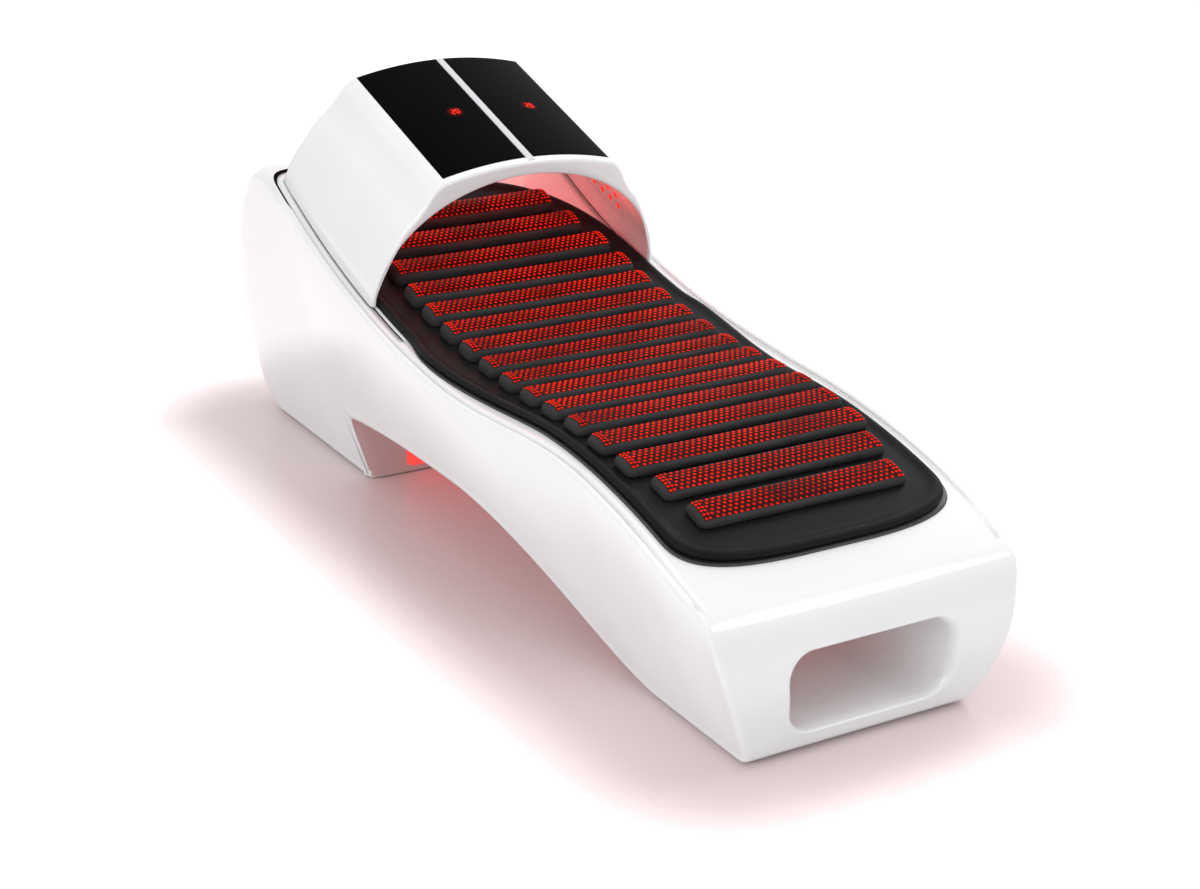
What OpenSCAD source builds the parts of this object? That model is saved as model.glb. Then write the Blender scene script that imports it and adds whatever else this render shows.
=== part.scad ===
// Red light therapy bed: a curved lounge with sixteen padded light bars and a sliding hood.
// Millimetres. X runs from the head end (-X) to the foot end (+X), Y is the width, Z is up.
// The origin is on the floor, at the middle of the bed's length and width.

/* [Body] */
// Length from the head end to the foot end
body_l = 2550; // [2480:10:2640]
// Width of the deck at the shoulders
body_w = 860; // [850:2:880]
// Width of the deck at the legs
leg_w = 778; // [760:2:800]
// Width between the side walls at the floor
base_w = 550; // [520:2:570]
// Height of the deck at the waist, its lowest lounging point
seat_h = 496; // [480:2:520]
// Distance from the foot end to the waist
waist_from_foot = 830; // [810:5:850]
// Length of the level stretch between the waist and the legs
level_l = 95; // [80:5:120]
// Radius of the lounging curve, which the hood also runs along
lounge_r = 2550; // [2500:10:2650]
// Radius of the curve under the legs
leg_r = 1650; // [1600:10:1700]
// Distance from the head end to where the deck starts to round over
crest_from_head = 555; // [545:5:570]
// Radius of the crest at the head
crest_r = 170; // [140:5:200]
// Radius of the rounded nose at the foot end
nose_r = 28; // [20:1:34]
// How far the foot end leans back towards the floor
foot_rake = 27; // [15:1:35]
// Corner radius at the foot end, in plan
foot_corner_r = 14; // [12:1:20]
// Corner radius at the head end, in plan
head_corner_r = 80; // [60:2:100]
// Radius of the head end where it meets the floor
heel_r = 95; // [80:1:110]
// Thickness of the moulded shell
wall = 6; // [5:0.5:8]
// Radius of the shell's rolled bottom edge
hem_r = 22; // [16:1:26]
// Width of the raised bead round the deck
bead_w = 16; // [14:1:20]
// Depth of the deck panel below the bead
deck_drop = 5; // [3:0.5:7]
// Thickness of the deck panel
deck_t = 5; // [4:0.5:6]
// Width of the shell's ledge under the deck panel
ledge_w = 15.5; // [12:0.5:15.5]

/* [Arch] */
// Height of the arch under the bed
arch_h = 245; // [220:5:255]
// Distance from the foot end to where the arch leaves the floor
arch_from_foot = 295; // [280:5:320]
// Length of the arch's sweep up from the foot
arch_rise_l = 780; // [740:5:820]
// Distance from the head end to the inner face of the head block
block_from_head = 750; // [730:5:770]
// How much the arch drops from its top to the head block
arch_fall = 60; // [40:2:80]
// Thickness of the belly panel
belly_t = 3.5; // [3:0.5:5]

/* [Tunnel] */
// Width of the tunnel through the foot block
tunnel_w = 334; // [300:2:340]
// Height of the tunnel
tunnel_h = 170; // [150:2:176]
// Height of the tunnel's floor
tunnel_z = 42; // [36:1:48]
// Corner radius of the tunnel
tunnel_r = 45; // [35:1:55]
// How far the tunnel's mouth flares out
flare = 16; // [10:1:18]
// Wall of the tunnel and of the glow recess
liner_t = 4; // [3:0.5:5]
// Depth of the red glow recess in the head block
glow_d = 70; // [50:2:90]
// Height of the glow recess
glow_h = 130; // [110:2:135]

/* [Mattress] */
// Distance of the pad in from the deck's edge at the waist
pad_in = 41; // [39:1:48]
// How much further in the pad's edge lies under the hood's track
pad_clear = 11; // [10.5:0.5:16]
// Distance of the pad in from the deck's edge at the legs
pad_leg_in = 52; // [44:1:60]
// Distance from the foot end to the pad's front edge
pad_from_foot = 122; // [110:2:140]
// Length of the pad along the bed
pad_l = 1793; // [1765:4:1805]
// Thickness of the pad
pad_t = 10; // [8:0.5:14]
// Height of the bead round the pad
pad_bead = 6; // [4:0.5:8]
// Thickness of the plate under the pad
tray_t = 4; // [3:0.5:6]
// How far the plate stands out past the pad
tray_lip = 7; // [4:1:10]
// Number of light bars
bar_n = 16; // [12:1:16]
// Spacing of the light bars along the deck
bar_pitch = 101; // [98:0.5:102]
// Width of a light bar
bar_w = 80; // [72:1:84]
// Height of the first light bar at its crown
bar_h = 25; // [22:1:28]
// How much taller the last light bar is than the first
bar_rise = 15; // [0:1:18]
// Length of a full light bar
bar_l = 620; // [600:2:630]
// How much shorter each bar is than the next one, at the foot
bar_step = 54; // [40:2:60]
// Number of rows of lights on a bar
row_n = 6; // [5:1:7]
// Width of a light strip
strip_w = 5; // [4:0.5:6]
// Thickness of a light strip
strip_t = 1.4; // [1:0.1:2]

/* [Hood] */
// How far the hood's rear edge lies past the start of the crest
hood_past = 14; // [0:1:20]
// Length of the hood along the deck
hood_l = 568; // [540:2:575]
// Distance of the hood in from the deck's edge
hood_in = 36; // [35:0.5:39]
// Height of the hood's crown above the deck
hood_h = 344; // [330:1:360]
// Distance of the roof's edges in from the hood's sides
roof_in = 158; // [154:1:166]
// How far the roof's edges lie below its crown
roof_drop = 33; // [28:1:36]
// How much flatter the hood's roof lies than the deck under it, in degrees
hood_pitch = 2.95; // [2:0.05:3.5]
// Lean of the hood's ends
hood_rake = 2.5; // [1:0.1:4]
// Skin of the hood
skin = 4; // [3.5:0.1:5]
// Thickness of the hood's roof
roof_t = 9; // [8:0.5:11]
// Height of the tunnel inside the hood
inner_h = 304; // [290:1:308]
// Thickness of the hood's liner
lining = 3; // [2:0.5:4]
// Thickness of the glass panels
glass_t = 3; // [2:0.5:4]
// Width of the spine between the glass panels
spine_w = 16; // [12:1:20]
// How far the hood slides towards the foot
slide_out = 160; // [100:5:165]
// How far the hood slides back
slide_back = 25; // [0:1:26]

/* [Track] */
// Distance of the slots in from the deck's edge
slot_in = 39; // [38:0.5:40]
// Width of the slots
slot_w = 14; // [12:0.5:15]
// How far the slots reach ahead of the hood
slot_lead = 166; // [150:1:175]
// How far the slots reach past the hood's rear edge
slot_past = 33; // [30:1:36]
// Distance of the hanging plates in from the hood's front edge
plate_in = 40; // [36:1:44]
// Distance of the front rollers in from the hood's front edge
wheel_in = 71; // [64:1:76]
// Depth of the track below the deck line
track_d = 36; // [34:1:42]
// Radius of a roller
roller_r = 14; // [12:0.5:15]
// Width of a roller
roller_w = 14; // [10:1:16]
// Radius of a roller's axle
axle_r = 5; // [4:0.5:6]
// Thickness of the rail's metal
rail_t = 3; // [2.5:0.5:4]
// Width of the rail's flanges
rail_w = 25; // [22:1:27]

/* [Inside] */
// Height of the rubber feet below the shell
feet_h = 4; // [3:0.5:6]
// Radius of the rubber feet
feet_r = 26; // [20:1:32]
// Thickness of the base plates
plate_t = 8; // [6:1:10]
// Thickness of the frame's side plates
frame_t = 4; // [3:0.5:6]
// Height of the frame's side plates
frame_h = 52; // [48:2:60]
// Distance from the head end to the frame's first tube
frame_head = 655; // [640:5:670]
// Distance from the foot end to the frame's last tube
frame_foot = 195; // [185:5:205]
// Size of the frame's square tubes
tube = 36; // [30:2:40]
// Size of the cooling fan
fan = 120; // [92:1:120]
// Thickness of the cooling fan
fan_t = 25; // [20:1:30]
// Height of the service panel's middle
service_z = 255; // [240:5:270]

/* [Hidden] */
$fn = 48;

// Clearance between pieces that sit on each other
seat = 0.3;
// Clearance of a shaft in its bore, on the radius
run = 0.05;
// Gap between moving faces
gap = 2;
head_x = -body_l / 2;
foot_x = body_l / 2;
waist_x = foot_x - waist_from_foot;
level_x = waist_x + level_l;
block_x = head_x + block_from_head;
arch_foot_x = foot_x - arch_from_foot;
arch_top_x = arch_foot_x - arch_rise_l;
lounge_z = seat_h + lounge_r;
slot_y = body_w / 2 - slot_in;

// The crest takes over from the lounging curve at this place
crest_x0 = head_x + crest_from_head;
crest_a = asin((waist_x - crest_x0) / lounge_r);
crest_z0 = lounge_z - lounge_r * cos(crest_a);
crest_x = crest_x0 - crest_r * sin(crest_a);
crest_z = crest_z0 - crest_r * cos(crest_a) + crest_r;

function lerp(a, b, t) = a + (b - a) * t;
function clamp01(t) = min(max(t, 0), 1);
function smooth(t) = let (c = clamp01(t)) c * c * (3 - 2 * c);
function flip(list) = [for (i = [len(list) - 1 : -1 : 0]) list[i]];
function root(v) = sqrt(max(v, 0));

// Height of the deck line above the floor
function deck_z(x) =
    x <= crest_x ? crest_z
    : x < crest_x0 ? crest_z - crest_r + root(crest_r * crest_r - pow(x - crest_x, 2))
    : x < waist_x ? lounge_z - root(lounge_r * lounge_r - pow(x - waist_x, 2))
    : x < level_x ? seat_h
    : seat_h - leg_r + root(leg_r * leg_r - pow(x - level_x, 2));

// Slope of the deck line, in degrees
function deck_a(x) = atan2(deck_z(x + 1) - deck_z(x - 1), 2);

// A place on the deck line, raised square to it
function on_deck(x, up) = [x - up * sin(deck_a(x)), deck_z(x) + up * cos(deck_a(x))];

// Half the width of the deck
function deck_half(x) =
    lerp(body_w / 2, leg_w / 2, smooth((x - (waist_x - 245)) / 600));

// Depth of the deck panel below the bead, which fades out at the foot
function drop(x) = lerp(0.6, deck_drop, smooth((foot_x - 60 - x) / 400));

// Lower edge of the arch
function arch_z(x) =
    x >= arch_foot_x ? 0
    : x > arch_top_x ? arch_h * smooth((arch_foot_x - x) / arch_rise_l)
    : arch_h - arch_fall * pow((arch_top_x - x) / (arch_top_x - block_x), 2);

// Outline of the head end, from the heel up to the crest
function head_end(z) =
    z < heel_r ? head_x + heel_r - root(heel_r * heel_r - pow(heel_r - z, 2))
    : crest_x - (crest_x - head_x)
      * pow(1 - pow(clamp01((z - heel_r) / (crest_z - heel_r)), 1.16), 1 / 2.5);

// Outline of the foot end, with its lean and its rounded nose
foot_top = deck_z(foot_x - nose_r);
function foot_end(z) =
    foot_x - foot_rake * clamp01(1 - z / (foot_top - nose_r))
    - (z > foot_top - nose_r
       ? nose_r - root(nose_r * nose_r - pow(min(z, foot_top) - foot_top + nose_r, 2)) : 0);

// Half the width of the body at a height, which swells outwards
function side_w(x, z, top) =
    base_w / 2 + (deck_half(x) - base_w / 2) * (1 - pow(1 - clamp01(z / top), 1.5));

// Stations round one side of the body, from the middle of the foot end to the middle of
// the head end. Each is a kind and a value: 0 foot end, 1 foot corner, 2 side,
// 3 side of the head block, 4 head corner, 5 head end.
side_x0 = foot_x - nose_r - foot_corner_r - 24;
side_steps = 20;
stations = concat(
    [[0, 0], [0, 0.5]],
    [for (a = [0 : 30 : 90]) [1, a]],
    [for (i = [0 : side_steps]) [2, lerp(side_x0, block_x, i / side_steps)]],
    [for (i = [1 : 3]) [3, i / 4]],
    [for (i = [0 : 4]) [4, 90 + i * 22.5]],
    [[5, 0.5], [5, 0]]);

corner_x = crest_x + head_corner_r;
function station_x(s) =
    s[0] < 2 ? foot_x - nose_r
    : s[0] == 2 ? s[1]
    : s[0] == 3 ? lerp(block_x, corner_x, s[1])
    : s[0] == 4 ? corner_x - head_corner_r * sin(s[1] - 90)
    : crest_x;
function station_top(s) = deck_z(station_x(s));

// A point of the shell: station, height, and how far in from the outer face
function shell_pt(s, z, in) =
    let (top = station_top(s), x0 = station_x(s), w = side_w(x0, z, top),
         hx = head_end(z / top * crest_z),
         fr = max(foot_corner_r - in, 2), hr = max(head_corner_r - in, 2))
    s[0] == 0 ? [foot_end(z) - in, s[1] * (w - in - fr), z]
    : s[0] == 1 ? [foot_end(z) - in - fr + fr * cos(s[1]), w - in - fr + fr * sin(s[1]), z]
    : s[0] == 2 ? [x0, w - in, z]
    : s[0] == 3 ? [lerp(block_x, hx + head_corner_r, s[1]), w - in, z]
    : s[0] == 4 ? [hx + in + hr + hr * cos(s[1]), w - in - hr + hr * sin(s[1]), z]
    : [hx + in, s[1] * (w - in - hr), z];

// The shell's section at a station, as how far in and how high
function shell_section(s) =
    let (top = station_top(s), z0 = feet_h, h0 = z0 + hem_r, h1 = top - 10,
         d = drop(station_x(s)) + deck_t + seat + 0.4)
    concat(
        [[hem_r + 12, z0], [hem_r, z0]],
        [for (a = [30 : 30 : 90]) [hem_r * (1 - sin(a)), z0 + hem_r * (1 - cos(a))]],
        [for (k = [1 : 7]) [0, lerp(h0, h1, k / 8)]],
        [[0, h1], [2.5, top - 3], [bead_w / 2, top], [bead_w - 2, top - 1.5]],
        [[bead_w, top - d], [bead_w + ledge_w, top - d]],
        [[bead_w + ledge_w, top - d - wall + 1], [wall, top - d - wall + 1]],
        [for (k = [5 : -1 : 1]) [wall, lerp(h0, top - d - wall, k / 6)]],
        [[wall, h0], [hem_r * 0.8, z0 + wall], [hem_r + 12, z0 + wall]]);

// Mirrors a half loop of stations into a whole one
function across(points) =
    concat(points, [for (i = [len(points) - 2 : -1 : 1])
        [for (p = points[i]) [p[0], -p[1], p[2]]]]);

// A closed band of equal sections, swept round a loop
module swept_ring(rings) {
    n = len(rings);
    m = len(rings[0]);
    polyhedron(
        points = [for (r = rings) for (p = r) p],
        faces = [for (i = [0 : n - 1]) for (j = [0 : m - 1])
            let (a = i * m + j, b = i * m + (j + 1) % m,
                 c = ((i + 1) % n) * m + (j + 1) % m, d = ((i + 1) % n) * m + j)
            for (f = [[a, b, c], [a, c, d]]) f]);
}

// A solid of stacked loops. Each loop's two halves face each other across the middle line,
// so point i faces point n - 1 - i.
module loop_stack(loops) {
    n = len(loops[0]);
    m = len(loops);
    half = n / 2;
    cap = [for (i = [0 : half - 2]) let (j = n - 1 - i)
        for (f = [[i, i + 1, j - 1], [i, j - 1, j]]) f];
    side = [for (k = [0 : m - 2]) for (i = [0 : n - 1])
        let (a = k * n + i, b = k * n + (i + 1) % n, c = a + n, d = b + n)
        for (f = [[a, c, d], [a, d, b]]) f];
    top = (m - 1) * n;
    polyhedron(
        points = [for (l = loops) for (p = l) p],
        faces = concat(side, cap, [for (f = cap) [f[0] + top, f[2] + top, f[1] + top]]));
}

// The space inside the shell, drawn in by a distance
module body_core(in) {
    round_stations = [for (s = stations) if (s[0] > 0 && s[0] < 5) s];
    loop_stack([for (k = [0 : 5])
        let (one = [for (s = round_stations)
            shell_pt(s, lerp(feet_h, station_top(s), k / 5), in)])
        concat(one, [for (p = flip(one)) [p[0], -p[1], p[2]]])]);
}

// Puts a side view, drawn as X and Z, across the width of the bed
module across_y(y0, y1) {
    translate([0, y1, 0]) rotate([90, 0, 0]) linear_extrude(y1 - y0) children();
}

// The open space under the arch, as a side view, grown by a distance
module arch_outline(grow) {
    r = 25;
    corner = [for (a = [0 : 30 : 90])
        [block_x - grow + r - r * cos(a), arch_z(block_x) + grow - r + r * sin(a)]];
    line = [for (i = [0 : 24])
        let (x = lerp(block_x + r, arch_foot_x, i / 24)) [x, arch_z(x) + grow]];
    polygon(concat([[block_x - grow, -20]], corner, line,
        [[arch_foot_x + 40 + grow * 4, -20]]));
}

module rounded_box_2d(w, h, r) {
    hull() for (sx = [-1, 1]) for (sy = [-1, 1])
        translate([sx * (w / 2 - r), sy * (h / 2 - r)]) circle(r, $fn = 32);
}

// A plain rounded rectangle made of exact arcs
module round_rect(w, h, r) {
    square([w - 2 * r, h], center = true);
    square([w, h - 2 * r], center = true);
    for (sx = [-1, 1]) for (sy = [-1, 1])
        translate([sx * (w / 2 - r), sy * (h / 2 - r)]) circle(r);
}

// Turns a section, drawn as Y and Z, to face along the bed
module along_x(x0, x1) {
    translate([x0, 0, 0]) rotate([90, 0, 90]) linear_extrude(x1 - x0) children();
}

tunnel_mid = tunnel_z + tunnel_h / 2;
glow_mid = feet_h + wall + plate_t + 4 + glow_h / 2;

// The white shell, of which each moulding is the length between two places
module shell_part(x0, x1) {
    color("white")
    difference() {
        intersection() {
            swept_ring(across([for (s = stations)
                [for (p = shell_section(s)) shell_pt(s, p[1], p[0])]]));
            along_x(x0, x1) translate([0, crest_z / 2]) square(2 * crest_z, center = true);
        }
        across_y(-body_w, body_w) arch_outline(0);
        along_x(foot_x - foot_rake - 60, foot_x + 20)
            translate([0, tunnel_mid])
            round_rect(tunnel_w + 2 * flare, tunnel_h + 2 * flare, tunnel_r + flare);
        service_place() translate([0, 0, -40])
            linear_extrude(80) round_rect(service_w - 16, service_h - 16, 14);
    }
}

// The joints between the mouldings are filled and painted, with a hairline left here
head_joint_x = block_x + 1;
foot_joint_x = foot_x - 95;
joint_gap = 0.3;

module body_shell() {
    shell_part(head_joint_x + joint_gap / 2, foot_joint_x - joint_gap / 2);
}

module head_shell() {
    shell_part(head_x - 50, head_joint_x - joint_gap / 2);
}

module foot_shell() {
    shell_part(foot_joint_x + joint_gap / 2, foot_x + 50);
}

// Outline of the deck panel in plan, with rounded corners at the head end
function deck_side(in) =
    let (r = head_corner_r - in, x0 = crest_x + head_corner_r)
    concat([for (a = [0 : 15 : 75])
            [x0 - r * cos(a), deck_half(x0) - in - r + r * sin(a)]],
        [for (i = [0 : 30])
            let (x = lerp(x0, foot_x - nose_r - in / 2, i / 30)) [x, deck_half(x) - in]]);
function deck_outline(in) =
    concat(deck_side(in), [for (p = flip(deck_side(in))) [p[0], -p[1]]]);

// Angle of a place on the lounging curve, from straight down towards the head
function lounge_a(x) = asin((waist_x - x) / lounge_r);
function along(l) = l / lounge_r * 180 / PI;
hood_a1 = lounge_a(crest_x0) + along(hood_past);
hood_a0 = hood_a1 - along(hood_l);
out_a = along(slide_out);
back_a = along(slide_back);
wheel_a0 = hood_a0 + along(wheel_in);
wheel_a1 = hood_a1 - along(wheel_in + plate_in);
plate_a0 = hood_a0 + along(plate_in);
plate_a1 = hood_a1 - along(1.6 * plate_in);
slot_a0 = hood_a0 - along(slot_lead);
slot_a1 = hood_a1 + along(slot_past);
function lounge_pt(a, r) = [waist_x - r * sin(a), lounge_z - r * cos(a)];

// A band along the lounging curve, as a side view
module lounge_band(a0, a1, r0, r1) {
    angles = [for (i = [0 : 12]) lerp(a0, a1, i / 12)];
    polygon(concat([for (a = angles) lounge_pt(a, r0)],
        [for (a = flip(angles)) lounge_pt(a, r1)]));
}

// A section, drawn as distance from the track's centre and place across the bed,
// swept along the track
module lounge_sweep(a0, a1) {
    translate([waist_x, 0, lounge_z]) rotate([90, 0, 0]) rotate([0, 0, 270 - a1])
        rotate_extrude(angle = a1 - a0, $fn = 720) children();
}

// How far the deck panel's top dips at the foot, to meet the nose
function end_dip(x) = 3.7 * pow(clamp01((x - foot_x + 85) / 48), 2);

module deck_panel() {
    xs = concat([for (i = [0 : 60]) lerp(crest_x, foot_x - nose_r - 60, i / 60)],
        [for (i = [1 : 6]) foot_x - nose_r - 60 + 10 * i]);
    color("whitesmoke")
    difference() {
        intersection() {
            across_y(-body_w, body_w)
                polygon(concat([for (x = xs) [x, deck_z(x) - drop(x) - end_dip(x)]],
                    [for (x = flip(xs)) [x, deck_z(x) - drop(x) - deck_t]]));
            linear_extrude(2 * crest_z) polygon(deck_outline(bead_w + 1.2));
        }
        for (s = [-1, 1])
            across_y(s * slot_y - slot_w / 2, s * slot_y + slot_w / 2)
            lounge_band(slot_a0, slot_a1, lounge_r - 30, lounge_r + 30);
    }
}

module belly_panel() {
    hem_top = feet_h + hem_r + 1;
    color("white")
    intersection() {
        difference() {
            across_y(-body_w, body_w) arch_outline(belly_t + 0.6);
            across_y(-body_w, body_w) arch_outline(0.6);
            along_x(arch_top_x - 60, arch_foot_x + 60) translate([0, tunnel_mid])
                round_rect(tunnel_w + 2 * liner_t + 1, tunnel_h + 2 * liner_t + 1,
                    tunnel_r + liner_t);
            along_x(block_x - 40, block_x + 40) translate([0, glow_mid])
                round_rect(tunnel_w - 20, glow_h, 20);
            // Clear of the shell's rolled edge, on both sides
            for (s = [-1, 1])
                translate([0, s * (base_w / 2 - hem_r - 12 - seat + body_w / 2), 0])
                cube([body_l, body_w, 2 * hem_top], center = true);
        }
        body_core(wall + 1.4);
    }
}

// Tapered tube at the tunnel's mouth
module mouth_solid(grow) {
    hull() {
        along_x(foot_x - foot_rake - 34, foot_x - foot_rake - 33) translate([0, tunnel_mid])
            rounded_box_2d(tunnel_w + 2 * grow, tunnel_h + 2 * grow, tunnel_r + grow);
        along_x(foot_x - 9, foot_x - 8) translate([0, tunnel_mid])
            rounded_box_2d(tunnel_w + 2 * (flare + grow - liner_t - 0.5),
                tunnel_h + 2 * (flare + grow - liner_t - 0.5), tunnel_r + flare + grow - 5);
    }
}

module foot_tunnel() {
    x0 = arch_top_x - 20;
    color("white")
    difference() {
        union() {
            along_x(x0, foot_x - foot_rake - 33.5) translate([0, tunnel_mid])
                round_rect(tunnel_w + 2 * liner_t, tunnel_h + 2 * liner_t, tunnel_r + liner_t);
            mouth_solid(liner_t);
        }
        along_x(x0 - 10, foot_x) translate([0, tunnel_mid])
            round_rect(tunnel_w, tunnel_h, tunnel_r);
        mouth_solid(0);
        across_y(-body_w, body_w) arch_outline(0.6);
        // The mouth ends level with the leaning foot end
        translate([foot_end(feet_h) - 1, -body_w / 2, feet_h])
            rotate([0, atan2(foot_rake, foot_top), 0]) cube([foot_top, body_w, 2 * foot_top]);
    }
}

module glow_box() {
    w = tunnel_w - 20 - 1;
    color("mistyrose")
    difference() {
        along_x(block_x - glow_d, block_x - 0.6) translate([0, glow_mid])
            round_rect(w, glow_h - 1, 19.5);
        along_x(block_x - glow_d + liner_t, block_x + 10) translate([0, glow_mid])
            round_rect(w - 2 * liner_t, glow_h - 1 - 2 * liner_t, 15);
    }
}

module glow_lens() {
    color("red")
    along_x(block_x - glow_d + liner_t + seat, block_x - glow_d + liner_t + seat + 6)
        translate([0, glow_mid])
        round_rect(tunnel_w - 24 - 2 * liner_t, glow_h - 4 - 2 * liner_t, 13);
}

plate_z = feet_h + wall + seat;
module base_slab(x0, x1) {
    intersection() {
        translate([x0, -body_w / 2, plate_z]) cube([x1 - x0, body_w, plate_t]);
        body_core(hem_r * 0.8 + 1);
    }
}

feet_places = [for (x = [head_x + 200, block_x - 50, arch_foot_x + 65, foot_x - 95])
    for (y = [-1, 1]) [x, y * (base_w / 2 - hem_r - 12 - feet_r - 3)]];

module head_base() {
    color("dimgray")
    difference() {
        base_slab(head_x, block_x - belly_t - 2);
        for (p = feet_places) translate([p[0], p[1], 0]) cylinder(h = 60, r = 4.5);
    }
}

module foot_base() {
    color("dimgray")
    difference() {
        base_slab(arch_foot_x + 30, foot_x);
        across_y(-body_w, body_w) arch_outline(belly_t + 1.5);
        for (p = feet_places) translate([p[0], p[1], 0]) cylinder(h = 60, r = 4.5);
    }
}

// Rubber feet, each with a stud that goes up through its base plate
module rubber_feet() {
    color("black")
    for (p = feet_places) translate([p[0], p[1], 0]) {
        cylinder(h = 2, r1 = feet_r - 2, r2 = feet_r);
        translate([0, 0, 2]) cylinder(h = plate_z - 2, r = feet_r);
        translate([0, 0, plate_z - 1]) cylinder(h = plate_t + 8, r = 4.4);
        translate([0, 0, plate_z + plate_t]) cylinder(h = 6, r = 8, $fn = 6);
    }
}

frame_y = slot_y - slot_w / 2 - 9 - rail_w - rail_t - frame_t;
beam_x = [for (i = [0 : 5]) lerp(head_x + frame_head, foot_x - frame_foot, i / 5)];
post_y = tunnel_w / 2 + liner_t + 5 + tube / 2;

// Welded frame: two curved side plates, cross tubes and four posts
module chassis() {
    xs = [for (i = [0 : 40]) lerp(crest_x0 + 10, foot_x - frame_foot + tube, i / 40)];
    top = deck_drop + deck_t + 2;
    color("slategray") {
        for (s = [-1, 1])
            across_y(s * (frame_y + frame_t / 2) - frame_t / 2,
                s * (frame_y + frame_t / 2) + frame_t / 2)
            polygon(concat([for (x = xs) [x, deck_z(x) - drop(x) - deck_t - seat]],
                [for (x = flip(xs)) on_deck(x, -top - frame_h)]));
        for (x = beam_x)
            translate([x, 0, deck_z(x) - top - frame_h / 2]) rotate([0, -deck_a(x), 0])
            cube([tube, 2 * frame_y + 1, tube], center = true);
        for (x = [beam_x[0], beam_x[5]]) for (s = [-1, 1])
            translate([x - tube / 2, s * post_y - tube / 2, plate_z + plate_t + seat])
            cube([tube, tube, deck_z(x) - top - frame_h / 2 - plate_z - plate_t - 2]);
    }
}

track_r = lounge_r + track_d;
rail_h = 2 * roller_r + 1 + 2 * rail_t;
rail_y = frame_y + frame_t + seat;

// Channel rail with a stop at each end, which the rollers meet
stop_a = (roller_r + 1) / track_r * 180 / PI;
module rail() {
    lounge_sweep(slot_a0, slot_a1)
        translate([0, -rail_y - rail_t - rail_w]) difference() {
            translate([track_r - rail_h / 2, 0]) square([rail_h, rail_w + rail_t]);
            translate([track_r - rail_h / 2 + rail_t, -1])
                square([rail_h - 2 * rail_t, rail_w + 1]);
        }
    for (a = [wheel_a0 - out_a - stop_a - 0.12, wheel_a1 + back_a + stop_a])
        lounge_sweep(a, a + 0.12)
            translate([track_r - rail_h / 2 + 1, -rail_y - rail_t - rail_w])
            square([rail_h - 2, rail_w + 1]);
}

module rail_left() {
    color("silver") mirror([0, 1, 0]) rail();
}

module rail_right() {
    color("silver") rail();
}

// Half the width of the pad, which draws in where the hood's track begins
pad_wide_x = waist_x - 485;
pad_x1 = foot_x - pad_from_foot;
pad_x0 = pad_x1 - pad_l;
// Length over which the pad narrows to its rounded head end
pad_round = 490;
function pad_half(x) =
    (lerp(leg_w / 2 - pad_leg_in, body_w / 2 - pad_in, smooth((waist_x + 155 - x) / 550))
        - pad_clear * smooth((pad_wide_x + 110 - x) / 110))
    * pow(1 - pow(clamp01((x - pad_x1 + 130) / 130.5), 3.2), 1 / 3.2)
    * pow(1 - pow(clamp01((pad_x0 + pad_round - x) / (pad_round + 0.5)), 3), 1 / 2.2);

// Places along the pad, closer together at its rounded ends
pad_xs = concat(
    [for (d = [0, 2, 8, 24, 50]) pad_x0 + d],
    [for (i = [0 : 33]) lerp(pad_x0 + 85, pad_x1 - 145, i / 33)],
    [for (a = [90 : -15 : 0]) pad_x1 - 130 + 130 * cos(a)]);
function pad_loop(in, up) =
    let (one = [for (x = flip(pad_xs))
        let (c = (pad_x0 + pad_x1) / 2, k = 1 - 2 * in / pad_l,
             xx = c + (x - c) * k, p = on_deck(xx, up - drop(xx)))
        [p[0], max(pad_half(x) - in, 1), p[1]]])
    concat(one, [for (i = [len(one) - 1 : -1 : 0]) [one[i][0], -one[i][1], one[i][2]]]);

// Heights of the pad above the deck panel
pad_z0 = tray_t + 2 * seat + 0.6;
pad_top = pad_z0 + pad_t;
module pad() {
    color("#181818")
    loop_stack([
        pad_loop(6, pad_z0), pad_loop(1, pad_z0 + 2), pad_loop(0, pad_z0 + pad_t * 0.6),
        pad_loop(2, pad_top + pad_bead * 0.6), pad_loop(8, pad_top + pad_bead),
        pad_loop(14, pad_top + pad_bead * 0.7), pad_loop(20, pad_top)]);
}

module tray_plate() {
    xs = [for (i = [0 : 50]) lerp(pad_x0 - 20, pad_x1 + 20, i / 50)];
    z0 = seat;
    edge = concat([for (x = pad_xs) [x, pad_half(x)]]);
    color("black")
    intersection() {
        across_y(-body_w, body_w)
            polygon(concat([for (x = xs) [x, deck_z(x) - drop(x) + z0 + tray_t]],
                [for (x = flip(xs)) [x, deck_z(x) - drop(x) + z0]]));
        linear_extrude(2 * crest_z) polygon(concat(
            [for (p = edge) tray_edge(p, 1)], [for (p = flip(edge)) tray_edge(p, -1)]));
    }
}
function tray_edge(p, s) =
    let (c = (pad_x0 + pad_x1) / 2, k = 1 + 2 * tray_lip / pad_l)
    [c + (p[0] - c) * k, s * (p[1] + lerp(-0.5, tray_lip, smooth((p[0] - pad_wide_x) / 200)))];

// Places of the light bars along the deck, from the foot
bar_x0 = foot_x - 259;
function step_back(x, l) = x - l * cos(deck_a(x - l / 2));
function bar_x(k) = k == 0 ? bar_x0 : step_back(bar_x(k - 1), bar_pitch * (k > bar_n - 4 ? 1.1 : 1));
function bar_len(k) =
    bar_l - bar_step * max(2 - k, k - bar_n + 3, 0) - (k < 3 || k > bar_n - 4 ? 10 : 0);

function bar_height(k) = bar_h + bar_rise * k / (bar_n - 1);

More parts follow.
